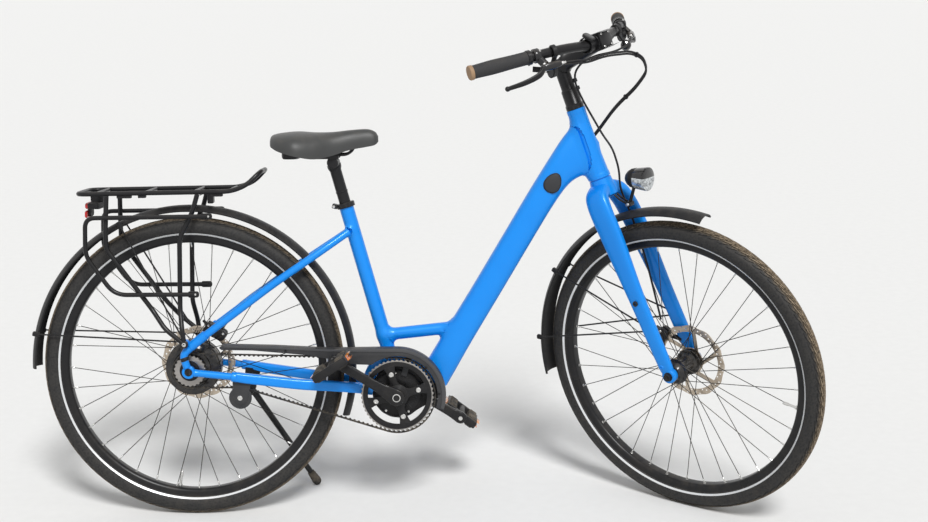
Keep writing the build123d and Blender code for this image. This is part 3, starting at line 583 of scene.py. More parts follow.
# %% The bike's finishes
blue_paint = finish("blue_paint", "frame_paint", [(0.0005, 0.225, 0.76), (0.001, 0.26, 0.82)], 0.40,
                    metallic=0.1, grain=(420.0, 0.035), dust=0.03, low=0.25, coat=0.3)
satin_black = finish("satin_black_metal", "black_alloy", [(0.008, 0.008, 0.009), (0.012, 0.012, 0.013)],
                     0.30, grain=(1500.0, 0.06), dust=0.08, wear=0.35)
moulded_black = finish("moulded_black", "black_plastic", [(0.009, 0.009, 0.010), (0.014, 0.014, 0.015)],
                       0.45, grain=(1300.0, 0.35), dust=0.10)
guard_grey = finish("guard_grey", "black_plastic", [(0.030, 0.031, 0.034), (0.040, 0.041, 0.044)], 0.46,
                    grain=(1500.0, 0.3), dust=0.18)
spoke_black = finish("spoke_black", "steel", [(0.018, 0.017, 0.016), (0.03, 0.028, 0.025)], 0.35,
                     metallic=0.6, grain=(2500.0, 0.05), dust=0.25)
bolt_steel = finish("bolt_steel", "steel", [(0.55, 0.55, 0.54), (0.66, 0.65, 0.63)], 0.26, metallic=1.0,
                    grain=(1800.0, 0.08), dust=0.12)
grip_rubber = finish("grip_rubber", "grip_rubber", [(0.034, 0.034, 0.036), (0.045, 0.045, 0.046)], 0.72,
                     grain=(1100.0, 0.5), dust=0.12)
belt_rubber = finish("belt_rubber", "tyre_rubber", [(0.012, 0.012, 0.012), (0.022, 0.021, 0.020)], 0.62,
                     grain=(1200.0, 0.3), dust=0.5, low=1.0)
cable_black = finish("cable_black", "black_plastic", [(0.011, 0.011, 0.012), (0.016, 0.016, 0.017)], 0.42,
                     grain=(2000.0, 0.1), dust=0.1)
silver = finish("reflecting_silver", "tyre_rubber", [(0.62, 0.63, 0.64), (0.74, 0.75, 0.76)], 0.3,
                metallic=0.35, grain=(2600.0, 0.2), dust=0.12)
print("finishes:", len(bpy.data.materials))

# %% [markdown]
# ## Wheels: tyre, stripe and rim
# A city tyre is a round casing with rubber blocks on its crown. The casing is turned like a
# lathe piece, and the blocks are placed by arithmetic: how far round the wheel, and how far from
# the middle of the tread. The silver line reflects headlamps, and is a thin band of its own.

# %% Tyres
TYRE_R = 25.0
TYRE_MID = WHEEL_R - TYRE_R
TYRE_EDGE = 2.42  # radians round the section, from the crown to where the rubber meets the rim
GROOVES = (1.22, 1.75)
ROAD_DUST = (0.3535, 0.3595)  # metres from the axle, where the dust begins and where it is full
STRIPE_R = 322.0
BLOCK_PITCHES = 92
BLOCK_ROWS = np.array([  # radians: angle from the crown, half width; degrees: half length, slant, shift
    (0.13, 0.10, 1.45, 1.5, 0.0), (-0.13, 0.10, 1.45, -1.5, 0.0),
    (0.40, 0.14, 1.25, 2.0, 1.6), (-0.40, 0.14, 1.25, -2.0, 1.6),
    (0.74, 0.15, 1.05, 1.2, 3.1), (-0.74, 0.15, 1.05, -1.2, 3.1)])


def on_tyre(axle, around, over, r):
    """The point at angle `around` the wheel and `over` the tyre's round section, r from its
    middle: a circle carried round a circle."""
    reach = TYRE_MID + r * np.cos(over)
    return np.stack([reach * np.cos(around), r * np.sin(over), reach * np.sin(around)], -1) + axle


def casing(axle):
    """The section's radius dips by exp(-x^6) under the blocks and by exp(-x^2) in each groove."""
    over = np.linspace(-TYRE_EDGE, TYRE_EDGE, 61)
    r = TYRE_R - 0.5 - 2.1 * np.exp(-(over / 0.95) ** 6)
    for groove in GROOVES:
        r = r - 0.28 * np.exp(-((np.abs(over) - groove) / 0.03) ** 2)
    profile = np.column_stack([r * np.sin(over), TYRE_MID + r * np.cos(over)])
    profile = np.vstack([profile, [(13.0, 316.0), (-13.0, 316.0)]])
    return turned(axle, (0, 1, 0), profile, sides=150, ring=True)


def tread_blocks(axle):
    """Every block is eight corners: four at the casing, four smaller ones at the tread's top."""
    pitch = np.arange(BLOCK_PITCHES)[:, None, None] * FULL / BLOCK_PITCHES
    middle, half, length, slant, shift = (BLOCK_ROWS[None, :, i, None] for i in range(5))
    side_x = np.array([-1, 1, 1, -1, -1, 1, 1, -1])
    side_y = np.array([-1, -1, 1, 1, -1, -1, 1, 1])
    small = np.array([1.0] * 4 + [0.8] * 4)
    around = pitch + np.radians(shift + side_x * length * small + slant * side_y)
    over = middle + side_y * half * small
    r = np.where(small < 1, TYRE_R - 0.02, TYRE_R - 3.2) + 0 * around
    points = on_tyre(axle, around, over + 0 * around, r).reshape(-1, 3)
    face = np.array([(4, 5, 6, 7), (0, 1, 5, 4), (1, 2, 6, 5), (2, 3, 7, 6), (3, 0, 4, 7), (3, 2, 1, 0)])
    count = len(points) // 8
    return points, (face[None] + 8 * np.arange(count)[:, None, None]).reshape(-1, 4).tolist()


def stripe(axle):
    """A thin raised band on each sidewall, where its radius is STRIPE_R."""
    over = math.acos((STRIPE_R - TYRE_MID) / (TYRE_R - 0.4)) + np.linspace(-0.10, 0.10, 7)
    out = TYRE_R - 0.32 + 0 * over
    low = TYRE_R - 1.2 + 0 * over
    r, over = np.concatenate([out, low]), np.concatenate([over, over[::-1]])
    profile = np.column_stack([r * np.sin(over), TYRE_MID + r * np.cos(over)])
    return pair(turned(axle, (0, 1, 0), profile, sides=150, ring=True))


def tyre_finish(name, axle):
    """Black sidewalls, and road dust where the distance from the axle nears the tread."""
    def tones(tree, place):
        home = node(tree, "Attribute", attribute_name="home").outputs["Vector"]
        spoke = node(tree, "VectorMath", {0: home, 1: tuple(axle * MM)}, operation="SUBTRACT").outputs[0]
        flat = node(tree, "VectorMath", {0: spoke, 1: (1, 0, 1)}, operation="MULTIPLY").outputs[0]
        reach = node(tree, "VectorMath", {0: flat}, operation="LENGTH").outputs["Value"]
        smear = ramp(tree, noise(tree, place, 210.0, 7.0), 0.34, 0.58)
        side = mix(tree, smear, (0.016, 0.016, 0.017, 1), (0.030, 0.029, 0.028, 1))
        road = mix(tree, smear, (0.075, 0.060, 0.043, 1), (0.27, 0.21, 0.145, 1))
        return mix(tree, ramp(tree, reach, *ROAD_DUST), side, road)
    return finish(name, "tyre_rubber", tones, 0.6, grain=(1000.0, 0.35), dust=0.12, low=0.4)


for end, axle in AXLES.items():
    rubber = tyre_finish(f"tyre_rubber_{end}", axle)
    put(f"{end}_tyre_tread", joined(casing(axle), tread_blocks(axle)), f"{end}_wheel", rubber,
        [f"{end}_tyre"], smooth=45)
    put(f"{end}_tyre_stripe", stripe(axle), f"{end}_wheel", silver)
print("tyre faces:", made[-2][1])

# %% [markdown]
# ## Rims, spokes and nipples
# The rim is rolled from one hollow section, so its shape is turned too. Each spoke hooks into a
# hub flange and runs nearly along a tangent, which lets the hub pull the rim round. All spokes
# are worked out at once: one array of start points, one of end points, and rings between them.

# %% Rims and spokes
RIM_OUT, RIM_IN = 319.0, 300.0
SPOKES = 36
SPOKE_R = 0.95
LACING = {  # the flange's radius and distance from the middle, and the lead in degrees
    "rear": (61.0, 27.0, 35.0), "front": (29.0, 31.0, 70.0)}


def rim(axle):
    half = [(16.0, RIM_OUT), (16.2, 317.5), (15.6, 315.0), (15.9, 309.0), (15.3, 306.0), (12.5, 302.0),
            (9.5, 300.4), (7.5, RIM_IN)]
    inner = [(-y, r) for y, r in reversed(half)]
    bed = [(-14.2, RIM_OUT), (-13.6, 313.0), (-7.0, 312.0), (7.0, 312.0), (13.6, 313.0), (14.2, RIM_OUT)]
    return turned(axle, (0, 1, 0), half + inner + bed, sides=144, ring=True)


def many_tubes(paths, radius, sides=6):
    """Tubes along many short paths at once: an array (tubes, stations, 3). Each tube's rings stand
    square to the line from its first to its last station."""
    paths = np.asarray(paths, float)
    count, stations = paths.shape[:2]
    axis = unit(paths[:, -1] - paths[:, 0])
    first = unit(np.cross(axis, (0.2, 1.0, 0.1)))
    second = np.cross(axis, first)
    angle = np.linspace(0, FULL, sides, endpoint=False)[:, None]
    ring = np.cos(angle) * first[:, None] + np.sin(angle) * second[:, None]
    radius = np.broadcast_to(radius, stations)[None, :, None, None]
    points = paths[:, :, None] + radius * ring[:, None]
    one = np.arange(stations * sides).reshape(stations, sides)
    wide = np.hstack([one, one[:, :1]])
    quads = np.stack([wide[:-1, :-1], wide[1:, :-1], wide[1:, 1:], wide[:-1, 1:]], -1).reshape(-1, 4)
    starts = np.arange(count)[:, None, None] * stations * sides
    faces = (quads[None] + starts).reshape(-1, 4).tolist()
    ends = np.stack([one[0, ::-1], one[-1]])
    faces += (ends[None] + starts).reshape(-1, sides).tolist()
    return points.reshape(-1, 3), faces


def spoke_lines(axle, flange_r, flange_y, lead):
    """Start and end of every spoke: even ones hook the right flange, odd ones the left, and each
    second pair leads the other way round the hub."""
    i = np.arange(SPOKES)
    side, way = np.where(i % 2, 1, -1), np.where((i // 2) % 2, 1, -1)
    out = i * FULL / SPOKES
    hub = out + np.radians(way * lead)
    hole = flange_r - 4.5
    start = np.stack([hole * np.cos(hub), side * (flange_y + way * 2.6), hole * np.sin(hub)], -1)
    end = np.stack([RIM_IN * np.cos(out), side * 3.0, RIM_IN * np.sin(out)], -1)
    through = start - np.stack([0 * side, side * way * 4.4, 0 * side], -1)
    return start + axle, end + axle, through + axle


def spokes(axle, flange_r, flange_y, lead):
    start, end, through = spoke_lines(axle, flange_r, flange_y, lead)
    wires = many_tubes(np.stack([start, end], 1), SPOKE_R)
    hooks = many_tubes(np.stack([start, through], 1), SPOKE_R)
    return joined(wires, hooks)


def nipples(axle, flange_r, flange_y, lead):
    start, end, _ = spoke_lines(axle, flange_r, flange_y, lead)
    way = unit(start - end)[:, None]
    at = np.array([-1.0, 1.0, 1.4, 11.0, 12.0])[None, :, None]
    return many_tubes(end[:, None] + at * way, np.array([3.2, 3.2, 2.0, 1.9, 1.2]), sides=8)


def valve(axle, degrees):
    """A tyre valve: threaded stem, nut and cap along a line to the axle."""
    way = polar((0, 0, 0), degrees, -1)
    profile = [(-2, 3.2), (3, 3.2), (3.2, 5.0), (6, 5.0), (6.2, 3.0), (24, 3.0), (24.2, 4.0), (36, 3.8),
               (38, 2.6), (38, 0)]
    return turned(axle - RIM_IN * way, way, profile, sides=16)


VALVE_AT = {"rear": -98.6, "front": -9.0}  # degrees round the wheel
for end, axle in AXLES.items():
    put(f"{end}_rim_shell", rim(axle), f"{end}_wheel", satin_black, [f"{end}_rim"], smooth=50)
    put(f"{end}_spoke_set", spokes(axle, *LACING[end]), f"{end}_wheel", spoke_black, [f"{end}_spokes"])
    put(f"{end}_nipples", nipples(axle, *LACING[end]), f"{end}_wheel", bolt_steel)
    put(f"{end}_valve", valve(axle, VALVE_AT[end]), f"{end}_wheel", bolt_steel)
print("spokes in each wheel:", SPOKES, "rim faces:", made[-4][1])

# %% [markdown]
# ## Hubs and brake rotors
# The rear hub holds its gears inside a wide drum, the front one is slim. Both are turned, with
# the grooves and shoulders that catch the light. A rotor is cut from steel plate: a wavy edge,
# swept arms and rows of holes, which are outlines given to the plate helper.

# %% Hubs
def rear_hub_shape():
    half = [(0.0, 66.0), (10.0, 66.0), (14.0, 65.0), (17.0, 61.5), (24.8, 61.0), (25.4, 63.8), (28.6, 63.8),
            (29.2, 61.0), (31.0, 57.0), (34.0, 52.0), (34.4, 46.0), (33.0, 45.2), (36.5, 44.5), (38.0, 40.0),
            (38.4, 31.0), (42.0, 29.5), (43.0, 24.0), (46.0, 22.0), (47.0, 9.5), (64.0, 9.0), (64.0, 6.4)]
    return turned(REAR_AXLE, (0, -1, 0), both_ways(half), sides=72)


def front_hub_shape():
    half = [(0.0, 15.0), (16.0, 15.4), (24.0, 18.0), (28.6, 24.0), (29.4, 31.0), (32.6, 31.0), (33.2, 24.0),
            (37.0, 19.0), (43.0, 15.5), (46.5, 9.5), (47.0, 6.4)]
    return turned(FRONT_AXLE, (0, -1, 0), both_ways(half), sides=56)


hub_black = finish("hub_black", "black_alloy", [(0.010, 0.010, 0.011), (0.015, 0.015, 0.016)], 0.24,
                   grain=(900.0, 0.04), dust=0.35, low=0.8, coat=0.4)
put("rear_hub_drum", rear_hub_shape(), "rear_wheel", hub_black, ["rear_hub"], smooth=25)
put("front_hub_shell", front_hub_shape(), "front_wheel", hub_black, ["front_hub"], smooth=25)
print("hub faces:", [count for _, count in made[-2:]])

# %% Rotors
ROTOR_R, ROTOR_T = 90.0, 2.0
ROTOR_Y = {"rear": 50.0, "front": 42.0}
ROTOR_BOLTS_R = 22
ROTOR_ARMS = 60.0 * np.arange(6)  # degrees
ROTOR_HOLES = 48


def arc(x, z, r, a, b, steps=12):
    """Points on a circle from angle a to angle b, in degrees."""
    t = np.radians(np.linspace(a, b, steps))
    return np.column_stack([x + r * np.cos(t), z + r * np.sin(t)])


def rotor(axle, y):
    """The edge waves as R + 1.4 cos(12 t). Windows lie between arms that sweep as they go out."""
    x, z = axle[[0, 2]]
    t = np.linspace(0, FULL, 288, endpoint=False)
    edge = ROTOR_R - 1.4 + 1.4 * np.cos(12 * t)
    outlines = [np.column_stack([x + edge * np.cos(t), z + edge * np.sin(t)]), circle(x, z, 10.0, 32)]
    for a in ROTOR_ARMS:
        outlines.append(np.vstack([arc(x, z, 73, a + 26, a + 78), arc(x, z, 33, a + 50, a + 10, 8)]))
        outlines.append(circle(*polar(axle, a + 5, ROTOR_BOLTS_R)[[0, 2]], 2.6, 12))
    for i in range(ROTOR_HOLES):
        hole = polar(axle, 360 / ROTOR_HOLES * i, 78.0 + 4.6 * (i % 3 - 0.4))
        outlines.append(circle(*hole[[0, 2]], 2.1, 10))
    return plate(outlines, y - ROTOR_T / 2, y + ROTOR_T / 2, 0.25)


def rotor_tones(tree, place):
    """Heat and pads leave brown clouds on the bright steel."""
    return mix(tree, noise(tree, place, 60.0, 8.0), (0.42, 0.33, 0.24, 1), (0.62, 0.56, 0.48, 1))


rotor_steel = finish("rotor_steel", "rotor_steel", rotor_tones, 0.34, metallic=1.0, grain=(2400.0, 0.1),
                     dust=0.1)
for end, axle in AXLES.items():
    y = ROTOR_Y[end]
    put(f"{end}_rotor_disc", rotor(axle, y), f"{end}_wheel", rotor_steel, [f"{end}_rotor"], smooth=30)
    bolts = [bolt(polar(axle, a + 5, ROTOR_BOLTS_R, y + 1), (0, 1, 0), 3.6, 2.4, 14) for a in ROTOR_ARMS]
    put(f"{end}_rotor_bolts", joined(*bolts), f"{end}_wheel", bolt_steel)
print("wheel pieces:", len(made))

# %% [markdown]
# ## The frame's tubes and their welds
# The frame is made of drawn tubes welded together, then filled and painted so that each weld is a
# smooth hollow curve. A true union of meshes leaves a hard crease there. Instead every tube keeps
# its own clean grid, and its points near another tube move out by a formula, so that the two
# surfaces run into each other: where they touch, the square roots of the distances to both tubes
# add up to the square root of the weld's reach.

# %% Weld curves
def line_distance(points, a, b, r1, r2=None):
    """How far points lie outside a round tube from a to b, whose radius goes from r1 to r2."""
    a, b = np.asarray(a, float), np.asarray(b, float)
    r2 = r1 if r2 is None else r2
    share = np.clip((points - a) @ (b - a) / np.sum((b - a) ** 2), 0, 1)
    away = np.linalg.norm(points - a - share[:, None] * (b - a), axis=1)
    return away - (r1 + share * (r2 - r1))


def welded(shape, neighbours, reach):
    """Moves points outwards by (sqrt(reach) - sqrt(b))^2, b being the distance to the nearest
    neighbour. Eight short steps settle the points where two tubes meet at a slant."""
    points, faces = shape
    quads = np.array([face for face in faces if len(face) == 4])
    across = np.cross(points[quads[:, 2]] - points[quads[:, 0]], points[quads[:, 3]] - points[quads[:, 1]])
    normal = np.zeros_like(points)
    for corner in range(4):
        np.add.at(normal, quads[:, corner], across)
    normal = unit(normal + 1e-12)
    centre_out = np.sum(normal * (points - points.mean(0)), axis=1)
    normal *= np.sign(np.median(centre_out))
    nearest = np.min([far(points) for far in neighbours], axis=0)
    outside = nearest > -0.3
    out = np.zeros(len(points))
    for _ in range(8):
        b = np.min([far(points + out[:, None] * normal) for far in neighbours], axis=0)
        goal = (math.sqrt(reach) - np.sqrt(np.clip(b, 0.02 * reach, reach))) ** 2
        out += 0.5 * (goal - out)
    return points + (outside * out)[:, None] * normal, faces


# %% The tubes' axes and sections
SEAT_ANGLE = math.radians(74.7)
SEAT_TUBE_R, SEAT_TUBE_X, SEAT_TUBE_Z = 17.0, 385.3, 699.0
SEAT_TUBE_LOW, SEAT_TUBE_TOP = 388.0, 748.0
SEAT_UP = np.array([-math.cos(SEAT_ANGLE), 0.0, math.sin(SEAT_ANGLE)])
HEAD_LOW, HEAD_TOP = 488.0, 659.0
HEAD_R1, HEAD_R2, HEAD_BORE = 26.0, 21.8, 14.6
DOWN_WIDTH = 56.0
BRACE_R = 14.6
DOWN_UPPER = [(529, 322), (548, 352), (590, 421), (668, 547), (748, 680), (806, 777), (860, 863), (886, 902),
              (914, 936)]
DOWN_LOWER = [(607, 312), (626, 345), (669, 420), (747, 550), (824, 679), (868, 750), (897, 789), (922, 808),
              (954, 818)]
SEATSTAY_R = 9.0
SEATSTAY = [(379, -16, 685), (300, -50, 632), (215, -64, 576), (30, -79, 440), (-12, -79, 404),
            (-3, -76.5, 373)]


def on_seat_axis(z):
    return np.array([SEAT_TUBE_X - (z - SEAT_TUBE_Z) / math.tan(SEAT_ANGLE), 0.0, z])


def smooth_line(points, count):
    """A Catmull-Rom curve: between points B and C, half of (2B + (C-A)t + (2A-5B+4C-D)t^2 +
    (3B-A-3C+D)t^3), which goes through every point without a corner."""
    p = np.asarray(points, float)
    p = np.vstack([2 * p[0] - p[1], p, 2 * p[-1] - p[-2]])
    at = np.linspace(0, len(p) - 3 - 1e-9, count)
    i, t = at.astype(int), (at % 1)[:, None]
    a, b, c, d = (p[i + k] for k in range(4))
    return 0.5 * (2 * b + (c - a) * t + (2 * a - 5 * b + 4 * c - d) * t ** 2
                  + (3 * b - a - 3 * c + d) * t ** 3)


def down_tube_shape():
    """Each ring stands between the tube's upper and lower edge line. Half of the gap is one half
    width, and the other narrows at both ends. |cos|^0.72 and |sin|^0.72 square it off."""
    upper, lower = smooth_line(DOWN_UPPER, 230), smooth_line(DOWN_LOWER, 230)
    share = np.linspace(0, 1, len(upper))
    at_head, at_foot = np.clip((share - 0.66) / 0.34, 0, 1), np.clip(0.2 - share, 0, 1) / 0.2
    half = DOWN_WIDTH / 2 - 6.5 * at_head ** 1.6 - 2.5 * at_foot
    angle = np.linspace(0, FULL, 84, endpoint=False)
    c, s = squared(np.cos(angle), 0.72), squared(np.sin(angle), 0.72)
    middle, rise = (upper + lower) / 2, (upper - lower) / 2
    x = middle[:, :1] + rise[:, :1] * c
    z = middle[:, 1:] + rise[:, 1:] * c
    return grid(np.stack([x, half[:, None] * s + 0 * x, z], -1), caps=True)


def down_distance(points):
    """How far points lie outside the down tube, from its edge lines: the section's superellipse
    value, less one, times 30 mm, and how far they are beyond the nearest ring."""
    upper, lower = smooth_line(DOWN_UPPER, 60), smooth_line(DOWN_LOWER, 60)
    middle, rise = (upper + lower) / 2, (upper - lower) / 2
    flat = points[:, None, [0, 2]] - middle[None]
    along = rise[None, :, 0] * flat[..., 1] - rise[None, :, 1] * flat[..., 0]
    nearest = np.argmin(np.abs(along), axis=1)
    pick = np.arange(len(points))
    rise = rise[nearest]
    height = np.sum(flat[pick, nearest] * rise, -1) / np.sum(rise ** 2, -1)
    side = points[:, 1] / (DOWN_WIDTH / 2 - 1.5)
    value = (np.abs(height) ** 2.78 + np.abs(side) ** 2.78) ** (1 / 2.78)
    beyond = np.clip(np.abs(along[pick, nearest]) / np.linalg.norm(rise, axis=-1) - 6, 0, None)
    return (value - 1) * 30.0 + beyond


def head_distance(points):
    return line_distance(points, on_steer_axis(HEAD_LOW), on_steer_axis(HEAD_TOP), HEAD_R1, HEAD_R2)


def seat_distance(points):
    return line_distance(points, on_seat_axis(SEAT_TUBE_LOW - 40), on_seat_axis(SEAT_TUBE_TOP), SEAT_TUBE_R)


BRACE_ENDS = on_seat_axis(434.6), np.array([650.3, 0.0, 454.5])


def brace_distance(points):
    return line_distance(points, *BRACE_ENDS, BRACE_R)


def stay_distance(points):
    near = line_distance(points, SEATSTAY[0], SEATSTAY[1], SEATSTAY_R)
    return np.minimum(near, line_distance(points * (1, -1, 1), SEATSTAY[0], SEATSTAY[1], SEATSTAY_R))


print(f"head tube {HEAD_TOP - HEAD_LOW:.0f} mm, seat tube {SEAT_TUBE_TOP - SEAT_TUBE_LOW:.0f} mm high")


# %% Main tubes
def head_tube_shape():
    """Turned: a slightly waisted tube with a raised ring at each end."""
    t = np.linspace(0, HEAD_TOP - HEAD_LOW, 80)
    share = t / t[-1]
    r = HEAD_R1 + share * (HEAD_R2 - HEAD_R1) - 1.6 * np.sin(math.pi * share)
    r += 0.8 * np.clip((share - 0.93) / 0.02, 0, 1) + 0.8 * np.clip((0.07 - share) / 0.02, 0, 1)
    profile = np.vstack([np.column_stack([t, r]), [(t[-1], HEAD_BORE), (t[0], HEAD_BORE)]])
    return turned(on_steer_axis(HEAD_LOW), UP, profile, sides=72, ring=True)


seat_tube = rod([on_seat_axis(SEAT_TUBE_LOW), on_seat_axis(SEAT_TUBE_TOP - 0.5)], SEAT_TUBE_R, 3.0, 56)
brace_tube = rod(BRACE_ENDS, BRACE_R, 2.5, 48)
for name, shape, neighbours, reach in (
        ("head_tube", head_tube_shape(), [down_distance], 15),
        ("down_tube", down_tube_shape(), [head_distance, brace_distance], 15),
        ("seat_tube", seat_tube, [brace_distance, stay_distance], 13),
        ("brace_tube", brace_tube, [seat_distance, down_distance], 15)):
    put(f"{name}_paint", welded(shape, neighbours, reach), "frame", blue_paint, [name], smooth=50)
print("main tubes, faces:", [count for _, count in made[-4:]])

# %% [markdown]
# ## Seatstays, chainstays and dropouts
# The thin stays run from the seat tube and the motor back to the wheel. Each ends at a dropout,
# an eye round the axle. The right seatstay has a joint that opens to let the belt through, and
# the lug above it carries the rack. Left and right are mirror images, so one side is drawn.

# %% Rear triangle
DROPOUT_R, DROPOUT_Y, DROPOUT_T = 15.5, 67.5, 12.0
STAY_Y = 76  # of the chainstay's rod
RACK_FOOT = np.array([-4.0, 0.0, 431.0])


def dropout_shape():
    """A turned eye with rounded rims, standing outside the hub."""
    y = np.array([0, 1.5, DROPOUT_T - 1.5, DROPOUT_T])
    profile = np.column_stack([y, DROPOUT_R - np.array([1.5, 0, 0, 1.5])]).tolist()
    profile += [(DROPOUT_T, 9.5), (DROPOUT_T - 2.5, 9.0), (DROPOUT_T - 2.5, 6.4), (0, 6.4)]
    return turned(REAR_AXLE - (0, DROPOUT_Y, 0), (0, -1, 0), profile, sides=48, ring=True)


def lug_shape():
    """The swelling on the stay that takes the rack's bolt, and its eye."""
    swell = rod([(8, -79, 423), (44, -78, 451)], SEATSTAY_R + 2.3, sides=30)
    boss = [(0, 8.3), (17.5, 8.3), (18.7, 7.2), (18.7, 0)]
    return joined(swell, turned(RACK_FOOT - (0, 70, 0), (0, -1, 0), boss, sides=32))


def chainstay_shape():
    """A thin rod behind a collar, then a deep box section that widens to the motor."""
    bar = rod([(12, -STAY_Y, 359.8), (116, -STAY_Y, 348.6)], 8.4, 4.0, 28)
    collar = [(0, 8.4), (1.5, 11.6), (11, 12.2), (13, 11.5)]
    collar = turned((101, -STAY_Y, 350), (1, 0, -0.1), collar, sides=32)
    rows = np.array([  # the middle's place, half width, half height
        (113, -74, 349, 11, 11.5), (150, -71, 343, 10, 12), (262, -61, 328, 10, 12.5),
        (340, -48, 320, 8, 12.5), (398, -38, 313, 7.5, 12.5), (432, -36.5, 308, 7.5, 12.5)], float)
    fine = smooth_line(rows, 110)
    box = tube(fine[:, :3], fine[:, 4], across=fine[:, 3], sides=36, side=(0, 1, 0), power=3.6)
    return joined(bar, collar, box)


def eye_distance(points):
    return line_distance(points, REAR_AXLE - (0, 67, 0), REAR_AXLE - (0, 80, 0), DROPOUT_R)


seatstay = welded(bent_tube(SEATSTAY, SEATSTAY_R, 3.0, 36), [seat_distance], 11)
chainstay = welded(chainstay_shape(), [eye_distance], 7)
put("seatstay_paint", pair(joined(seatstay, dropout_shape(), lug_shape())), "frame", blue_paint,
    ["seatstays"], smooth=50)
put("chainstay_paint", pair(chainstay), "frame", blue_paint, ["chainstays"], smooth=50)

split = unit(np.array([-12, 0, 404]) - (-5, 0, 386))
band = peg((-9.4, -78.6, 397.5), split * (-1, 1, -1), 9.9, 9, 1, 0.6, 32)
put("belt_opening_band", band, "frame", moulded_black)
axle_end = [(0, 9.0), (1.2, 8.8), (1.2, 5.5), (-2.5, 5.2), (-2.5, 0)]
axle_caps = [turned(REAR_AXLE + (0, s * (DROPOUT_Y + DROPOUT_T - 1.5), 0), (0, s, 0), axle_end, 24)
             for s in (-1, 1)]
put("rear_axle_bolts", joined(*axle_caps), "frame", satin_black, ["rear_axle"])
print("frame faces:", sum(count for name, count in made if name.endswith("_paint")))

# %% [markdown]
# ## Motor and cradle
# The motor sits where the tubes meet: a cast housing with cooling ribs and a round cover, held
# under a painted cradle that is part of the frame. Both are plates cut to their side view, with
# generous rounded edges. The ribs stand round the crank axle like the teeth of a gear.

# %% The motor
BB = np.array([491.0, 0.0, 299.0])
BB_X, BB_Z = BB[[0, 2]]
MOTOR_R = 62.0
MOTOR_EDGE = [(602, 302), (556, 340), (520, 365), (474, 366), (444, 348)]
CRADLE = [(606, 310), (580, 350), (549, 373), (520, 397), (470, 399), (442, 396), (412, 350), (401, 306),
          (420, 292), (436, 300), (436, 336), (470, 366.5), (520, 366.5), (556, 341), (592, 310)]


def motor_shape():
    lower = arc(BB_X, BB_Z, MOTOR_R, 165, 318, 22)
    outline = soft_outline(np.vstack([MOTOR_EDGE, lower[::3], [(596, 290)]]), 0.3)
    cover = [(0, 58), (5, 58), (7.5, 55), (8.2, 50), (8.2, 30), (6.6, 29), (6.6, 22), (9.2, 21), (9.2, 12)]
    left = [(0, 60), (7, 59), (10, 55), (11.4, 48), (11.4, 12)]
    return joined(plate([outline], -31, 42, 4.0), turned(BB + (0, -30, 0), (0, -1, 0), cover, sides=64),
                  turned(BB + (0, 40, 0), (0, 1, 0), left, sides=64))


def rib_shape(count, first, last):
    """Thin blades that stand out from the motor's face like rays, between two angles in degrees."""
    blades = []
    for t in np.radians(np.linspace(first, last, count)):
        way = np.array([math.cos(t), math.sin(t)])
        side = np.array([-way[1], way[0]]) * 1.1
        root, tip = BB[[0, 2]] + 24 * way, BB[[0, 2]] + 47 * way
        blades.append(plate([np.array([root - side, tip - side, tip + side, root + side])], -39, -35, 0.3))
    return joined(*blades)


put("motor_housing", motor_shape(), "frame", moulded_black, ["motor"], smooth=35)
put("motor_ribs", joined(rib_shape(14, 5, 85), rib_shape(10, 285, 350)), "frame", satin_black)
cover_screws = [bolt(polar(BB, a, 50, -38), (0, -1, 0), 3.0, 2.0, 12) for a in (20, 95, 165, 235, 300)]
put("motor_screws", joined(*cover_screws), "frame", bolt_steel)
put("motor_cradle_paint", plate([soft_outline(CRADLE, 0.25)], -27.5, 27.5, 3.5), "frame", blue_paint,
    ["motor_cradle"], smooth=50)
print("motor, faces:", [count for _, count in made[-4:]])

# %% [markdown]
# ## The belt drive
# A toothed belt runs from the chainring over the rear cog, and a small pulley below keeps it
# tight. Its path is two arcs and straight runs between them, found from the angle of their
# common tangents. The teeth are a wave on the belt's inner side, and the ring and the cog carry
# the same wave. A hair's breadth is left between their tips, so that the crank can turn.

# %% The belt's path
BELT_Y, BELT_W, BELT_T, BELT_GAP = -56.0, 10.0, 5.0, 0.5
RING_R, RING_TEETH = 86.0, 50
COG_R, COG_TEETH = 37.5, 22
PULLEY_AT, PULLEY_R = np.array([119.6, 297.7]), 20.0
TOOTH_DEEP = 2.4
BELT_CIRCLES = (  # centre, radius to the belt's toothed side, way round it
    (np.array([0.0, WHEEL_R]), COG_R + BELT_GAP, 1), (BB[[0, 2]], RING_R + BELT_GAP, 1),
    (PULLEY_AT, PULLEY_R + BELT_T + BELT_GAP, -1))


def tangent_points(one, other, above):
    """Where a straight run leaves circle `one` and meets `other`. The angle between the line of
    centres and the radius is acos((r1 - r2) / gap), or acos((r1 + r2) / gap) for a run that
    crosses between them."""
    (a, ra, way_a), (b, rb, way_b) = one, other
    gap = np.linalg.norm(b - a)
    crossed = way_a != way_b
    swing = math.acos((ra + rb if crossed else ra - rb) / gap)
    lean = math.atan2(b[1] - a[1], b[0] - a[0]) + (swing if above else -swing)
    way = np.array([math.cos(lean), math.sin(lean)])
    return a + ra * way, b + (-rb if crossed else rb) * way


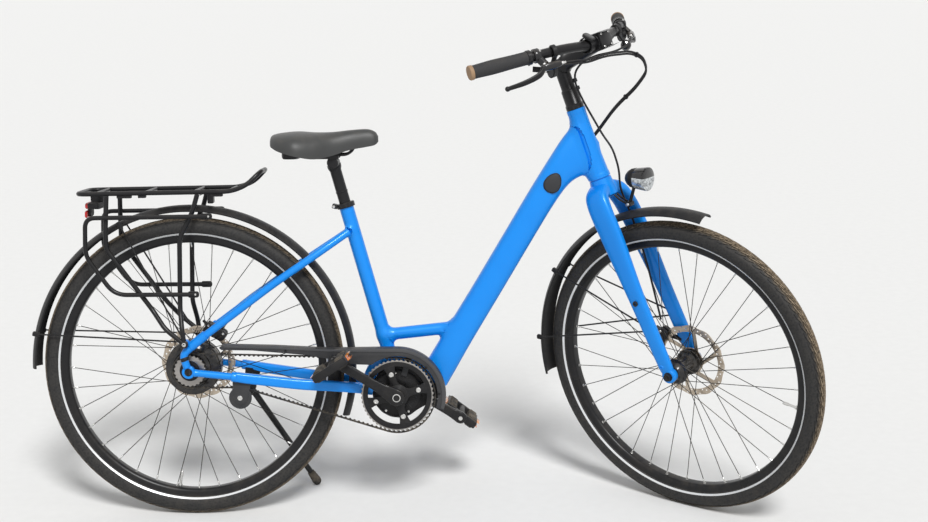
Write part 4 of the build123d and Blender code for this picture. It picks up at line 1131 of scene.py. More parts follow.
def belt_path(count):
    """`count` even points round the belt's toothed side, starting on the cog, and its length."""
    cog, ring, pulley = BELT_CIRCLES
    top = tangent_points(cog, ring, True)
    low = tangent_points(pulley, ring, True)
    back = tangent_points(cog, pulley, False)

    def sweep(centre, radius, start, end, clockwise):
        a, b = (math.atan2(*(p - centre)[::-1]) for p in (start, end))
        if clockwise and b > a:
            b -= FULL
        if not clockwise and b < a:
            b += FULL
        t = np.linspace(a, b, 90)
        return centre + radius * np.column_stack([np.cos(t), np.sin(t)])

    path = np.vstack([top, sweep(ring[0], ring[1], top[1], low[1], True), low[::-1],
                      sweep(pulley[0], pulley[1], low[0], back[1], False), back[::-1],
                      sweep(cog[0], cog[1], back[0], top[0], True)])
    flat = np.column_stack([path[:, 0], np.zeros(len(path)), path[:, 1]])
    length = np.sum(np.linalg.norm(np.diff(flat, axis=0), axis=1))
    step = length / count * 0.999999  # a hair less, so that rounding can't drop a point
    return even(flat, step)[:count], length


belt_length = belt_path(400)[1]
BELT_TEETH = round(belt_length / (FULL * (RING_R + BELT_GAP) / RING_TEETH))
TOOTH_STEPS = 10
path = belt_path(BELT_TEETH * TOOTH_STEPS)[0]
print(f"belt: {belt_length:.0f} mm, {BELT_TEETH} teeth")


def belt_shape():
    """The inner side is cut in between the teeth by one minus the wave max(0, cos + 0.15)^(1/2),
    and the outer side is smooth with a shallow channel along its middle."""
    ahead = unit(np.roll(path, -1, 0) - np.roll(path, 1, 0))
    outward = np.stack([-ahead[:, 2], 0 * ahead[:, 0], ahead[:, 0]], -1)
    phase = np.arange(len(path)) / TOOTH_STEPS * FULL
    cut = TOOTH_DEEP * (1 - np.sqrt(np.clip(np.cos(phase) + 0.15, 0, 1)))
    across = BELT_W / 2 * np.array([-1, -1, -0.5, -0.45, 0.45, 0.5, 1, 1, 0.45, 0, -0.45])
    height = BELT_T - np.array([0, 0.5, 0.2, 1.0, 1.0, 0.2, 0.5, 0])
    depth = np.hstack([np.tile(height, (len(path), 1)), np.repeat(cut[:, None], 3, axis=1)])
    depth[:, [0, 7]] = cut[:, None] + 0.1
    points = path[:, None] + depth[..., None] * outward[:, None] + across[:, None] * np.array([0, 1, 0])
    return grid(points + (0, BELT_Y, 0), wrap_rows=True)


put("belt_loop", belt_shape(), "frame", belt_rubber, ["drive_belt"], smooth=60)


def toothed_outline(centre, radius, teeth):
    """A circle with rounded gaps between its teeth: the radius less a depth where cos is high."""
    t = np.linspace(0, FULL, teeth * 12, endpoint=False)
    r = radius - TOOTH_DEEP * np.sqrt(np.clip(np.cos(t * teeth) + 0.25, 0, 1))
    return centre + np.column_stack([r * np.cos(t), r * np.sin(t)])


# %% Chainring and cog
RING_HALF_W = 4.6
ARM_AT = (105, 195, 285, 375)  # degrees


def radial(t, r):
    """A point in the side view, at the angle t in radians and the radius r round the crank axle."""
    return BB[[0, 2]] + r * np.array([math.cos(t), math.sin(t)])


def spider_shape():
    """Four arms that widen to an eye at each bolt, as one outline round the axle."""
    half = [(0.62, 25), (0.24, 34), (0.17, 58), (0.20, 74)]  # half an arm's angle, radius
    outline = []
    for t in np.radians(ARM_AT):
        outline += [radial(t - a, r) for a, r in half] + [radial(t + a, r) for a, r in reversed(half)]
    return plate([soft_outline(outline, 0.4, 4)], BELT_Y - 5.5, BELT_Y - 1.0, 1.2)


teeth_steel = finish("tooth_steel", "steel", [(0.20, 0.19, 0.18), (0.42, 0.40, 0.38)], 0.36, metallic=0.9,
                     grain=(1800.0, 0.1), dust=0.4)
ring_teeth = plate([toothed_outline(BB[[0, 2]], RING_R, RING_TEETH), circle(BB_X, BB_Z, 76.5, 96)],
                   BELT_Y - RING_HALF_W, BELT_Y + RING_HALF_W, 0.35)
put("chainring_teeth", ring_teeth, "crankset", teeth_steel, ["chainring"], smooth=32)
carrier = plate([circle(BB_X, BB_Z, 81.5, 96), circle(BB_X, BB_Z, 70.0, 96)], BELT_Y - 5.2, BELT_Y + 5.2, 0.8)
hub_boss = turned(BB + (0, BELT_Y + 4, 0), (0, -1, 0), [(0, 26), (8, 27), (12, 22), (16, 17)], sides=48)
put("chainring_spider", joined(carrier, spider_shape(), hub_boss), "crankset", satin_black)
ring_bolts = [bolt(polar(BB, a, 52, BELT_Y - 5.5), (0, -1, 0), 6.0, 3.2, 24) for a in ARM_AT]
put("chainring_bolts", joined(*ring_bolts), "crankset", bolt_steel)

cog_teeth = plate([toothed_outline(REAR_AXLE[[0, 2]], COG_R, COG_TEETH), circle(0, WHEEL_R, 24, 48)],
                  BELT_Y - RING_HALF_W, BELT_Y + RING_HALF_W, 0.3)
cog_web = [(0, 31), (1, 32.5), (4, 32.5), (5, 28), (6.5, 16), (6.5, 9.5), (0, 9.5)]
cog_web = turned(REAR_AXLE + (0, BELT_Y + 3, 0), (0, -1, 0), cog_web, sides=48, ring=True)
put("rear_cog_teeth", cog_teeth, "rear_wheel", teeth_steel, ["rear_cog"], smooth=32)
put("rear_cog_web", cog_web, "rear_wheel", satin_black)
print("teeth on ring and cog:", RING_TEETH, COG_TEETH)

# %% [markdown]
# ## Cranks and pedals
# A forged crank is thick at the axle and at the pedal and slim between. Its outline follows two
# circles and a waist, and its edges are well rounded. The pedal is a platform: a frame with two
# rubber treads, a barrel round the spindle, and an amber reflector front and back.

# %% Cranks
CRANK_LEN, CRANK_ANGLE = 170.0, 149.0
ARM_Y, ARM_T = 83.0, 13.0


def arm_end(sign):
    return polar(BB, CRANK_ANGLE, sign * CRANK_LEN)


def arm_shape(sign):
    """Drawn lying forwards and turned to the crank's angle. Half widths along the arm come from
    a smooth curve, so the waist has no corner."""
    knots = np.array([(-19.5, 0.1), (-16, 11), (-8, 17.5), (0, 19.5), (14, 18.0), (45, 13.0), (90, 11.0),
                      (140, 11.6), (160, 13.6), (170, 14.6), (180, 11), (184.6, 0.1)])
    upper = smooth_line(knots, 90)
    lower = upper * (1, -1)
    outline = np.vstack([upper, lower[::-1][1:-1]]) + BB[[0, 2]]
    y = -sign * ARM_Y
    shape = plate([outline], y - ARM_T / 2, y + ARM_T / 2, 3.0)
    return turned_y(shape, CRANK_ANGLE + (0 if sign > 0 else 180), BB + (0, y, 0))


axle_tube = turned(BB + (0, -ARM_Y, 0), (0, 1, 0), [(0, 10.8), (2 * ARM_Y, 10.8)], sides=32)
arms = joined(arm_shape(1), arm_shape(-1))
put("crank_arms", joined(arms, axle_tube), "crankset", satin_black, ["cranks"], smooth=45)
axle_bolt = [(0, 10), (1.0, 9.6), (1.4, 7.6), (0.4, 7.2), (0.4, 4.2), (-3, 4.0), (-3, 0)]
crank_bolts = [turned(BB + (0, s * (ARM_Y + ARM_T / 2 - 0.5), 0), (0, s, 0), axle_bolt, 32) for s in (-1, 1)]
put("crank_bolts", joined(*crank_bolts), "crankset", bolt_steel)
eye = [(0, 9.5), (1.3, 9.2), (1.3, 6.5)]
eyes = [turned(arm_end(s) - (0, s * (ARM_Y + ARM_T / 2 - 1), 0), (0, -s, 0), eye, 32) for s in (-1, 1)]
put("crank_eyes", joined(*eyes), "crankset", bolt_steel)
print("crank faces:", made[-3][1])

# %% Pedals
PEDAL_Y, PEDAL_W, PEDAL_L, PEDAL_T = 145.0, 96.0, 92.0, 26.0
PEDAL_TILT = {"right": 32.0, "left": -37.0}
RIBS = 9
pedal_tread = finish("pedal_tread", "black_plastic", [(0.03, 0.029, 0.027), (0.06, 0.055, 0.048)], 0.7,
                     grain=(800.0, 0.6), dust=0.6, low=1.0)
# The reflectors' colour: amber, with a painted glint in each facet's middle and painted shade at its edges.
amber_with_painted_light = painted_facet_light(520.0, (0.95, 0.34, 0.02, 1), (0.60, 0.16, 0.01, 1))
amber = finish("amber_reflector", "black_plastic", amber_with_painted_light, 0.16, grain=(900.0, 0.2), dust=0.1, coat=0.6)


def pedal_parts(side):
    """The frame, the treads and the reflectors, each a shape, tilted about the spindle."""
    sign = 1 if side == "right" else -1
    centre = arm_end(sign) - (0, sign * PEDAL_Y, 0)
    x, y, z = centre
    half_l, half_w = PEDAL_L / 2, PEDAL_W / 2
    cage = [block((x, y + s * (half_w - 4), z), (PEDAL_L - 8, 8, PEDAL_T - 7), 8, 1.5) for s in (-1, 1)]
    cage += [block((x + s * (half_l - 6), y, z), (9, PEDAL_W - 6, PEDAL_T - 9), 3, 1.2) for s in (-1, 1)]
    cage += [block((x + s * 23, y, z), (5, PEDAL_W - 10, PEDAL_T - 14), 2, 1) for s in (-1, 1)]
    cage.append(peg((x, y - half_w + 2, z), (0, 1, 0), 9, PEDAL_W - 4, 2, 1, 32))
    treads = []
    for s in (-1, 1):
        for at in y - half_w + 12 + np.arange(RIBS) * (PEDAL_W - 24) / (RIBS - 1):
            treads.append(block((x + s * (half_l - 17), at, z), (19, 5.6, PEDAL_T - 0.4), 2.5, 1.0))
        treads.append(block((x + s * (half_l - 17), y, z), (21, PEDAL_W - 14, PEDAL_T - 6), 3, 1.0))
    spindle = turned(centre + (0, sign * (half_w - 3), 0), (0, sign, 0),
                     [(0, 7.0), (8, 7.0), (8.3, 9.0), (13, 9.0), (13.3, 5.0), (half_w - 19, 5.0)], sides=24)
    glass = [block((x + s * (half_l - 1.6), y, z), (3, 44, PEDAL_T - 13), 1.5, 0.6) for s in (-1, 1)]
    return [turned_y(joined(*parts), PEDAL_TILT[side], centre) for parts in (cage, treads, [spindle], glass)]


for side in ("right", "left"):
    body = f"pedal_{side}"
    cage, treads, spindle, glass = pedal_parts(side)
    put(f"{body}_frame", cage, body, moulded_black, [body])
    put(f"{body}_treads", treads, body, pedal_tread)
    put(f"{body}_spindle", spindle, body, bolt_steel)
    put(f"{body}_reflectors", glass, body, amber)
print("each pedal, faces:", [count for _, count in made[-4:]])

# %% [markdown]
# ## Belt guard and tensioner
# A moulded guard covers the upper run and the front of the ring. It is a flat face with a raised
# outer band and a lip that turns in over the belt. Behind the guard, the tensioner presses a
# grooved pulley on the belt's smooth side.

# %% The guard
GUARD_NEAR, GUARD_FAR = RING_R + 10, RING_R + 29
GUARD_Y = -69.5
GUARD_BACK = [(330, 412.8), (200, 420), (80, 423.5)]  # along its upper edge, back to the wheel
GUARD_END = [(73, 419), (73, 417), (78, 412.5), (150, 411), (280, 399), (335, 389), (372, 377)]
TABS_AT = np.degrees((0.15, 1.25))


def edge_strip(out, depth, start, back):
    """A strip of an outline along the guard's outer edge: there and back by two arcs, with the
    points of `back` between them."""
    return np.vstack([arc(BB_X, BB_Z, GUARD_FAR - out, start, 90, 40), back,
                      arc(BB_X, BB_Z, GUARD_FAR - depth, 90, start, 40)])


whole = np.vstack([arc(BB_X, BB_Z, GUARD_FAR, -17, 90, 40), GUARD_BACK, GUARD_END,
                   arc(BB_X, BB_Z, GUARD_NEAR, 128, -17, 46)])
band = edge_strip(0.6, 8.5, -16, [(330, 412.2), (200, 419.4), (84, 422.8),
                                  (84, 418.6), (200, 414.6), (330, 407)])
lip = edge_strip(0, 2.6, -17, [*GUARD_BACK, (80, 421), (200, 417.4), (330, 410.2)])
tabs = [block(polar(BB, a, 100, -50), (16, 20, 5), 2, 0.6, a + 90) for a in TABS_AT]
feet = [block(polar(BB, a, 74, -41.6), (56, 4, 14), 3, 0.8, a) for a in TABS_AT]
guard_light = finish("guard_band_grey", "black_plastic", [(0.055, 0.056, 0.060), (0.070, 0.071, 0.075)], 0.4,
                     grain=(1500.0, 0.3), dust=0.1)
guard = [plate([whole], GUARD_Y, GUARD_Y + 3, 1.0), plate([lip], GUARD_Y + 1, -41, 0.5), *tabs, *feet]
put("belt_guard_face", joined(*guard), "frame", guard_grey, ["belt_guard"])
put("belt_guard_band", plate([band], GUARD_Y - 1.6, GUARD_Y + 1, 0.7), "frame", guard_light)
guard_screws = [bolt((x, GUARD_Y, z), (0, -1, 0), 3.4, 2.2, 16)
                for x, z in ((230, 410.5), (560, 367), (590, 305))]
put("belt_guard_screws", joined(*guard_screws), "frame", satin_black)
print("belt guard faces:", made[-3][1])

# %% The tensioner
x, z = PULLEY_AT
TENSION_ARM = [(102, 340), (146, 336), (140, 306), (134, 288), (120, 280), (106, 288), (104, 306)]
groove = [(0, 8), (0, 21.5), (1, 22), (1.4, PULLEY_R), (9.6, PULLEY_R), (10, 22), (11, 21.5), (11, 12),
          (9, 11), (9, 8)]
pulley = turned((x, BELT_Y + 5.5, z), (0, -1, 0), groove, sides=48, ring=True)
pin = turned((x, BELT_Y + 6, z), (0, -1, 0), [(0, 5), (18, 5)], sides=20)
shield = turned((x, -66.5, z), (0, -1, 0), [(0, 27), (1.5, 27), (2.5, 25.5), (2.5, 6)], sides=48)
tension_arm = plate([soft_outline(TENSION_ARM, 0.4)], -72, -68, 0.8)
put("tensioner_pulley", joined(pulley, pin), "frame", teeth_steel, ["belt_tensioner"])
put("tensioner_arm", joined(tension_arm, shield), "frame", guard_grey)
put("tensioner_bolt", bolt((x, -72, z), (0, -1, 0), 6.0, 3.5, 24), "frame", bolt_steel)
print("drive pieces made:", len(made))

# %% [markdown]
# ## Fork, boss and stem
# Fork legs and crown are one cast arch. Its path climbs from one dropout over the crown and down
# to the other, and a table gives the section's two half widths at each point. The boss for a
# rack stands proud of each leg. The stem is turned, with a neck welded to it.

# %% The fork
FORK_ARCH = np.array([  # ahead of the axle, to the left, above it, half thickness, half depth
    (-4, -59, 5, 8, 15), (-16, -61, 36, 8.5, 18), (-77, -60, 173, 10, 20.5), (-139, -56, 314, 12, 28.5),
    (-168, -53, 374, 13.5, 29.5), (-186, -42, 406, 16, 28.5), (-193, -21, 416, 19, 27.5),
    (-194.5, 0, 417, 20, 27)], float)
BOSS_AT = np.array([1098.0, -70.2, 533.0])


def fork_shape():
    far_side = FORK_ARCH[-2::-1] * (1, -1, 1, 1, 1)
    fine = smooth_line(np.vstack([FORK_ARCH, far_side]), 280)
    return tube(fine[:, :3] + FRONT_AXLE, fine[:, 3], across=fine[:, 4], sides=48, side=AHEAD, power=2.9)


def neck_shape():
    """The fork's top: a cone whose foot flares into the crown, and a groove under the head tube."""
    profile = [(0, 31), (14, 30.5), (26, 28.2), (36, 26.8), (41, 26.3), (41.2, 24), (43.4, 24),
               (43.4, HEAD_BORE)]
    return turned(on_steer_axis(HEAD_LOW - 44), UP, profile, sides=64)


def fork_end_shape():
    profile = [(0, 6.5), (0, 16), (1, 17), (15.5, 17), (17, 15.5), (17, 10.5), (15, 10), (15, 6.5)]
    return turned(FRONT_AXLE - (0, 51, 0), (0, -1, 0), profile, sides=44, ring=True)


eyelet = [(0, 6), (11, 6), (12, 5), (12, 2.6), (6, 2.6), (6, 0)]
fork_end = joined(fork_end_shape(), turned((1159, -58, 382), (0, -1, 0), eyelet, sides=24))
put("fork_paint", joined(fork_shape(), neck_shape(), pair(fork_end)), "steering", blue_paint, ["fork"],
    smooth=50)
boss = [(0, 2.6), (0, 6.2), (0.3, 6.5), (3.4, 6.5), (3.9, 6.0), (3.9, 3.0), (3.5, 2.6)]
put("fork_boss_rings", pair(turned(BOSS_AT, (0, -1, 0), boss, sides=36, ring=True)), "steering", satin_black,
    ["fork_bosses"])
nut = [(0, 6), (0, 11), (1.2, 11), (1.4, 9), (8, 8.6), (9, 7.4), (9, 5), (12, 4.6), (12, 0)]
nuts = [turned(FRONT_AXLE + (0, s * 68.3, 0), (0, s, 0), nut, sides=30) for s in (-1, 1)]
put("front_axle_nuts", joined(*nuts), "steering", satin_black, ["front_axle"])
print("fork faces:", made[-3][1])

# %% The stem
CLAMP = np.array([987.0, 0.0, 1131.0])
CLAMP_TILT = 20  # degrees
CLAMP_R, BAR_MID_R = 21.0, 16.2
SCREW_OUT = 15  # from the clamp's middle, sideways and along its face
STEM_R, STEM_TOP = 16.8, 781.5
RISER = [(0.4, 20.5), (1.2, 21.4), (11, 21.4), (12, 20.2), (13, 20.2), (14, 19.4), (46, 19.2), (48, 18.2),
         (50, STEM_R), (104, STEM_R), (119, STEM_R), (123, 14.6), (124, 12), (124, 8.5), (120, 8), (120, 0)]


def riser_distance(points):
    return line_distance(points, on_steer_axis(700.0), on_steer_axis(783.0), STEM_R)


def stem_shape():
    """Turned riser, and a neck whose ring grows towards the bar clamp."""
    path = even([on_steer_axis(764.0), CLAMP - (6, 0, 3)], 2.5)
    share = np.linspace(0, 1, len(path))
    neck = tube(path, 17.5 + 2.0 * share, across=16.5 + 4.5 * share, sides=44, power=2.4)
    return joined(turned(on_steer_axis(HEAD_TOP), UP, RISER, sides=56), welded(neck, [riser_distance], 12))


def clamp_shape():
    """A short barrel round the bar, and a front cap with a slit above and below it."""
    barrel = clamp_ring(CLAMP - (0, 23, 0), (0, 1, 0), BAR_MID_R, CLAMP_R, 46, 1.4, 1.4, 48)
    cap = block(CLAMP + (20.5, 0, 0), (7, 45, 41), 3, 1.6)
    back = block(CLAMP + (11.5, 0, 0), (9, 45, 41), 2, 1.4)
    return joined(barrel, turned_y(joined(cap, back), CLAMP_TILT, CLAMP))


stem_ears = [bolt(on_steer_axis(t) + 11 * AHEAD + (0, 10, 0), AHEAD + (0, 0.8, 0), 5.2, 11.0, 24)
             for t in (704, 723)]
put("stem_body", joined(stem_shape(), clamp_shape(), *stem_ears), "steering", satin_black, ["stem"],
    smooth=40)
face, rise = polar((0, 0, 0), CLAMP_TILT, 1), polar((0, 0, 0), CLAMP_TILT + 90, 1)
screws = [bolt(CLAMP + 23.6 * face + (0, y, 0) + h * rise, face, 3.2, 2.6, 18)
          for y in (-SCREW_OUT, SCREW_OUT) for h in (-SCREW_OUT, SCREW_OUT)]
screws.append(turned(on_steer_axis(STEM_TOP), UP, [(0, 6), (1.5, 6), (1.5, 3.2), (-1, 3), (-1, 0)], 20))
put("stem_screws", joined(*screws), "steering", bolt_steel)
print("stem faces:", made[-2][1])

# %% [markdown]
# ## Handlebar, grips and levers
# The bar is one tube, thick in the middle and swept back at both ends. Everything on it is placed
# by one function that gives a point on the straight grip part, from 0 where the rubber starts
# to 1 at the tip. Negative shares lie further in.

# %% Handlebar and grips
BAR_ROWS = np.array([(0, 0, 0), (-2, 40, 0), (-21, 112, 5.5), (-40, 163, 4.4), (-136, 312, -12.4)], float)
BAR_R, BAR_BORE = 11.1, 11.3  # the bar's radius, and that of what is clamped on it
GRIP_FROM = 190.0


def along_grip(side, share):
    """The point of the bar's straight end at that share, for side -1 (right) or 1 (left)."""
    a, b = (CLAMP + row * (1, side, 1) for row in BAR_ROWS[3:])
    at = (GRIP_FROM - abs(a[1])) / (abs(b[1]) - abs(a[1]))
    return a + (at + share * (1 - at)) * (b - a)


def bar_shape():
    """Radius 11.1, swelling to 15.9 within 62 mm of the middle by a smooth step."""
    half = CLAMP + BAR_ROWS
    path = even(rounded(np.vstack([(half * (1, -1, 1))[:0:-1], half])), 2.5)
    near = np.clip((62 - np.abs(path[:, 1])) / 28, 0, 1)
    return tube(path, BAR_R + 4.8 * near ** 2 * (3 - 2 * near), sides=40, side=(0.1, 0, 1))


def grip_line(side):
    """Both ends of a grip, and the direction between them."""
    start, end = along_grip(side, 0.0), along_grip(side, 1.0)
    return start, end, unit(end - start)


def grip_shape(side):
    """A sleeve that swells under the palm, with a fine ring every 3 mm in its middle part."""
    start, end, way = grip_line(side)
    length = np.linalg.norm(end - start)
    t = np.linspace(9.5, length - 7, 260)
    r = 15.0 + 1.2 * np.exp(-((t - 0.62 * length) / 32) ** 2) + 0.22 * np.cos(FULL * t / 3.0)
    profile = np.vstack([[(9.5, 11.2)], np.column_stack([t, r]), [(length - 7, 11.2)]])
    return turned(start, way, profile, sides=40, ring=True)


GRIP_RING = [(0, BAR_BORE), (0, 16), (1, 16.8), (8.4, 16.8), (9.3, 16), (9.3, BAR_BORE)]
GRIP_CAP = [(0, BAR_BORE), (0, 15.8), (1, 16.6), (7.5, 16.6), (9, 15.4), (9.4, 12), (9.4, 0)]
tan_rubber = finish("tan_rubber", "grip_rubber", [(0.30, 0.19, 0.11), (0.38, 0.25, 0.15)], 0.6,
                    grain=(1200.0, 0.3))
put("handlebar_tube", bar_shape(), "steering", satin_black, ["handlebar"], smooth=50)
put("grip_sleeves", joined(grip_shape(-1), grip_shape(1)), "steering", grip_rubber, ["grips"])
rings, ends = [], []
for side in (-1, 1):
    start, end, way = grip_line(side)
    rings.append(turned(start, way, GRIP_RING, 40, ring=True))
    rings.append(bolt(start + 4.6 * way - (0, 0, 16), (0, 0, -1), 2.6, 2.0, 14))
    ends.append(turned(end - 6.5 * way, way, GRIP_CAP, 40))
put("grip_rings", joined(*rings), "steering", satin_black)
put("grip_ends", joined(*ends), "steering", tan_rubber)
print(f"a grip is {np.linalg.norm(end - start):.0f} mm long")

# %% Brake levers
def lever_shapes(side):
    """Body, blade and silver parts of one hydraulic lever."""
    seat, way = along_grip(side, -0.14), grip_line(side)[2]
    middle = seat + 7 * way
    root = middle + (29, 0, -23)

    def beside(distance, *section):
        """A row of a table: the point that far out from the root, and its section."""
        return (*(root + distance * way), *section)

    ring = clamp_ring(seat, way, 11.4, 16.3, 14, 1.2, 0.9, 36)
    arm = rod([middle + (10, 0, -8), middle + (24, 0, -19)], 9, across=7.5, sides=28, power=3)
    tank = [beside(-34, 3.6), beside(-31, 6.4), beside(-12, 8.8), beside(4, 8.6), beside(13, 6.6)]
    tank = smooth_line(tank, 40)
    body = joined(ring, arm, tube(tank[:, :3], tank[:, 3], across=tank[:, 3] * 1.15, sides=32, power=2.7))

    knee, tip = along_grip(side, 0.12) + (40, 0, -34), along_grip(side, 0.60) + (32, 0, -48)
    half = (knee + tip) / 2 + (5, 0, -1)
    line = smooth_line([beside(8, 5.0, 7.0), (*knee, 3.8, 6.6), (*half, 3.2, 6.0), (*tip, 3.2, 4.6)], 60)
    blade = tube(line[:, :3], line[:, 3], across=line[:, 4], sides=24, side=(0, 0, 1), power=3)
    t = np.linspace(-math.pi / 2, math.pi / 2, 17)
    ball = turned(tip, way, np.column_stack([6 * np.sin(t), 6 * np.cos(t) + 1e-3]), 24)

    hinge = [(0, 0), (0, 3.4), (0.8, 4), (21, 4), (22, 3.4), (22, 0)]
    hinge = turned(root + 8 * way + (1, 0, 11), (0, 0, -1), hinge, 20)
    clip = bolt(middle + (11, 0, 11.5), (0.7, 0, 0.7), 2.8, 2.4, 14)
    gland = turned(root - 33 * way, -way, [(0, 4.4), (5, 4.4), (5.4, 3.4), (11, 3.2), (12, 2.6)], 18)
    return body, joined(blade, ball), joined(hinge, clip, gland)


bodies, blades, pins = zip(lever_shapes(-1), lever_shapes(1))
put("lever_bodies", joined(*bodies), "steering", hub_black, ["brake_levers"])
put("lever_blades", joined(*blades), "steering", satin_black)
put("lever_pins", joined(*pins), "steering", bolt_steel)
print("levers, faces:", [count for _, count in made[-3:]])

# %% Switches, bell and display
def pill(centre, half):
    """A flat case with rounded edges, lying level: its outline shrinks at top and bottom like the
    ends of a quarter circle. `half` is half of its length, width and height."""
    a, b, h = half
    t = np.linspace(0, FULL, 36, endpoint=False)
    outline = np.stack([a * squared(np.cos(t), 0.62), b * squared(np.sin(t), 0.62)], -1)
    level = np.linspace(0, math.pi, 13)
    shrink = 1 - 0.42 * h / a * (1 - np.sin(level) ** 0.6)
    rows = np.concatenate([outline[None] * shrink[:, None, None],
                           np.repeat(-h * np.cos(level)[:, None, None], len(t), axis=1)], -1)
    return grid(rows + centre, caps=True)


LEVEL = dict(sides=40, side=(0, 0, 1))
cases, keys = [], []
for side, size, hang in ((-1, 1.0, (-7, -6, -44)), (1, 0.85, (0, 6, -22))):
    at, way = along_grip(side, -0.42), grip_line(side)[2]
    low = at + hang
    cases.append(clamp_ring(at, way, BAR_BORE, 14.8, 10))
    cases.append(rod([at + (0, 4 * side, -12), low + (0, 2 * side, 8)], 5.5))
    cases.append(rod([low - (0, 7, 0), low + (0, 7, 0)], 10.5 * size, across=16 * size, **LEVEL))
    keys.append(rod([low - (0, 8.4, 0), low - (0, 6, 0)], 8.0 * size, 1, across=13 * size, **LEVEL))
    thumb = np.array([low + (-4, 4 * side, 2), low + (-20, 20 * side, 5), low + (-34, 28 * side, 7)])
    cases.append(tube(smooth_line(thumb, 20), 3.5, across=6.5, sides=20, side=(0, 0, 1)))

BELL_R, BELL_WAY = 12.6, np.array([0.5, -0.6, 0.6])
bell_at = CLAMP + BAR_ROWS[2] + (6, -8, 0)
dome_at = bell_at + (26, 0, -33)
cases.append(clamp_ring(bell_at - (0, 5, 0), (0, 1, 0), BAR_BORE, 14, 10, drop=0.6))
cases.append(rod([bell_at + (8, 0, -8), bell_at + (22, 0, -28)], 4, sides=16))
t = np.linspace(0, math.pi / 2, 20)
dome = [(-6, 11.6), (-6, 12.4)] + (BELL_R * np.column_stack([np.sin(t), np.cos(t)])).tolist()
bell_screw = turned(dome_at + 12.2 * unit(BELL_WAY), BELL_WAY, [(0, 2.6), (0.8, 2.2), (0.8, 0)], 16)

display_at = CLAMP + (-4, -44, 2)
case = turned_y(pill((0, 0, 19.6), (15, 11, 3.2)), -25, (0, 0, 0))
glass = turned_y(pill((0, 0, 22.6), (12, 8, 0.6)), -25, (0, 0, 0))
cases.append((case[0] + display_at, case[1]))
cases.append(clamp_ring(CLAMP + (-3, -49, 0.5), (0, 1, 0), BAR_MID_R, 18.9, 10, drop=0.9, sides=36))

gloss = finish("gloss_black", "black_plastic", [(0.004, 0.004, 0.005), (0.006, 0.006, 0.007)], 0.12,
               grain=(900.0, 0.0), dust=0.05, coat=0.5)
put("control_cases", joined(*cases), "steering", moulded_black)
put("control_keys", joined(*keys), "steering", guard_light)
put("bell_dome", turned(dome_at, BELL_WAY, dome, 40), "steering", gloss)
put("bell_screw", bell_screw, "steering", bolt_steel)
put("display_glass", (glass[0] + display_at, glass[1]), "steering", gloss)
print("cockpit pieces made:", len(made))

# %% [markdown]
# ## Headlight, front mudguard and hoses
# The lamp is turned: a dark shell, and a lens whose facets carry painted reflections below and
# painted shade, near black, above. A mudguard is a thin curved section carried round part of the
# wheel, with rolled edges.
# The hoses follow loose curves. Those that cross from the bar to the frame are laid where the
# turned bars hold them, and ride on neither body.

# %% Headlight
lamp_seat = on_steer_axis(HEAD_LOW - 48) + 28.3 * AHEAD
lamp_pin = lamp_seat + (37, 0, -19)
lamp_back = lamp_pin + (-5, 0, 63)
LAMP_WAY = polar((0, 0, 0), 2, 1)
LAMP_SHELL = [(0, 0), (0, 9), (1.5, 12), (7, 17.8), (14, 21), (24, 23.4), (28, 24.2), (28, 0)]
LENS = [(0, 0), (0, 24.0), (3, 24.7), (14, 26.3), (25, 27.6), (28.5, 28), (31.6, 27.4), (32.6, 25),
        (33.4, 13), (33.6, 5), (33.6, 0)]
# Above this height the lens is painted near black: painted shade over its upper half.
PAINTED_SHADE_LEVEL = float(parked([lamp_back], True)[0][2]) + 0.006

shell = [turned(lamp_back, LAMP_WAY, LAMP_SHELL, 56)]
for d, r in ((14, 21.0), (19, 22.2), (24, 23.4)):
    fin = [(0, r - 1), (0, r + 0.9), (1.6, r + 1.1), (1.6, r - 1)]
    shell.append(turned(lamp_back + d * LAMP_WAY, LAMP_WAY, fin, 48, ring=True))
bracket = [bent_tube([lamp_seat + (0, y, 0), lamp_seat + (16, y, -12), lamp_pin + (0, y, 0)], 2.6, 2)
           for y in (-6, 6)]
bracket.append(peg(lamp_pin - (0, 9, 0), (0, 1, 0), 7, 18, 0.8, 1, 28))
bracket.append(rod([lamp_pin, lamp_pin + (15, 0, 47)], 4))


def lens_tones(tree, place):
    """Facets from a cell pattern, each a painted reflection from dark to light grey, and painted shade, near
    black, above the lamp's middle line.
    """
    facets = node(tree, "TexVoronoi", {"Vector": place, "Scale": 240.0}).outputs["Color"]
    light = node(tree, "RGBToBW", {0: facets}).outputs[0]
    # Painted reflections: each facet of the clear lens gets its own grey.
    painted_reflections = mix(tree, light, (0.10, 0.11, 0.12, 1), (0.80, 0.84, 0.86, 1))
    high = node(tree, "SeparateXYZ", {0: place}).outputs["Z"]
    # Painted shade: near black above the lamp's middle line.
    return mix(tree, calc(tree, "GREATER_THAN", high, PAINTED_SHADE_LEVEL), painted_reflections, (0.008, 0.008, 0.009, 1))


lens_clear = finish("clear_lens", "black_plastic", lens_tones, 0.14, metallic=0.55, grain=(700.0, 0.05),
                    dust=0.06, coat=0.9)
put("headlight_shell", joined(*shell), "steering", moulded_black, ["headlight"], smooth=30)
put("headlight_lens", turned(lamp_back + 26 * LAMP_WAY, LAMP_WAY, LENS, 56), "steering", lens_clear)
put("headlight_bracket", joined(*bracket), "steering", satin_black)
put("headlight_bolt", bolt(lamp_pin - (0, 9, 0), (0, -1, 0), 4.2, 3.0), "steering", bolt_steel)
print("headlight, faces:", [count for _, count in made[-4:]])

# %% Mudguards
FENDER_R, FENDER_W, FENDER_DROP = WHEEL_R + 29.0, 56.0, 12.0
FRONT_FENDER_R = FENDER_R + 4
WIRE_R = 2.0


def hooped(section, centre, start, end, steps=110):
    """A closed section of (to the left, radius) points carried round an axle: at angle t its
    points stand at (r cos t, y, r sin t)."""
    y, r = np.asarray(section, float).T
    t = np.radians(np.linspace(start, end, steps))[:, None]
    points = np.stack([r * np.cos(t), y + 0 * t, r * np.sin(t)], -1)
    return grid(points + centre, caps=True)


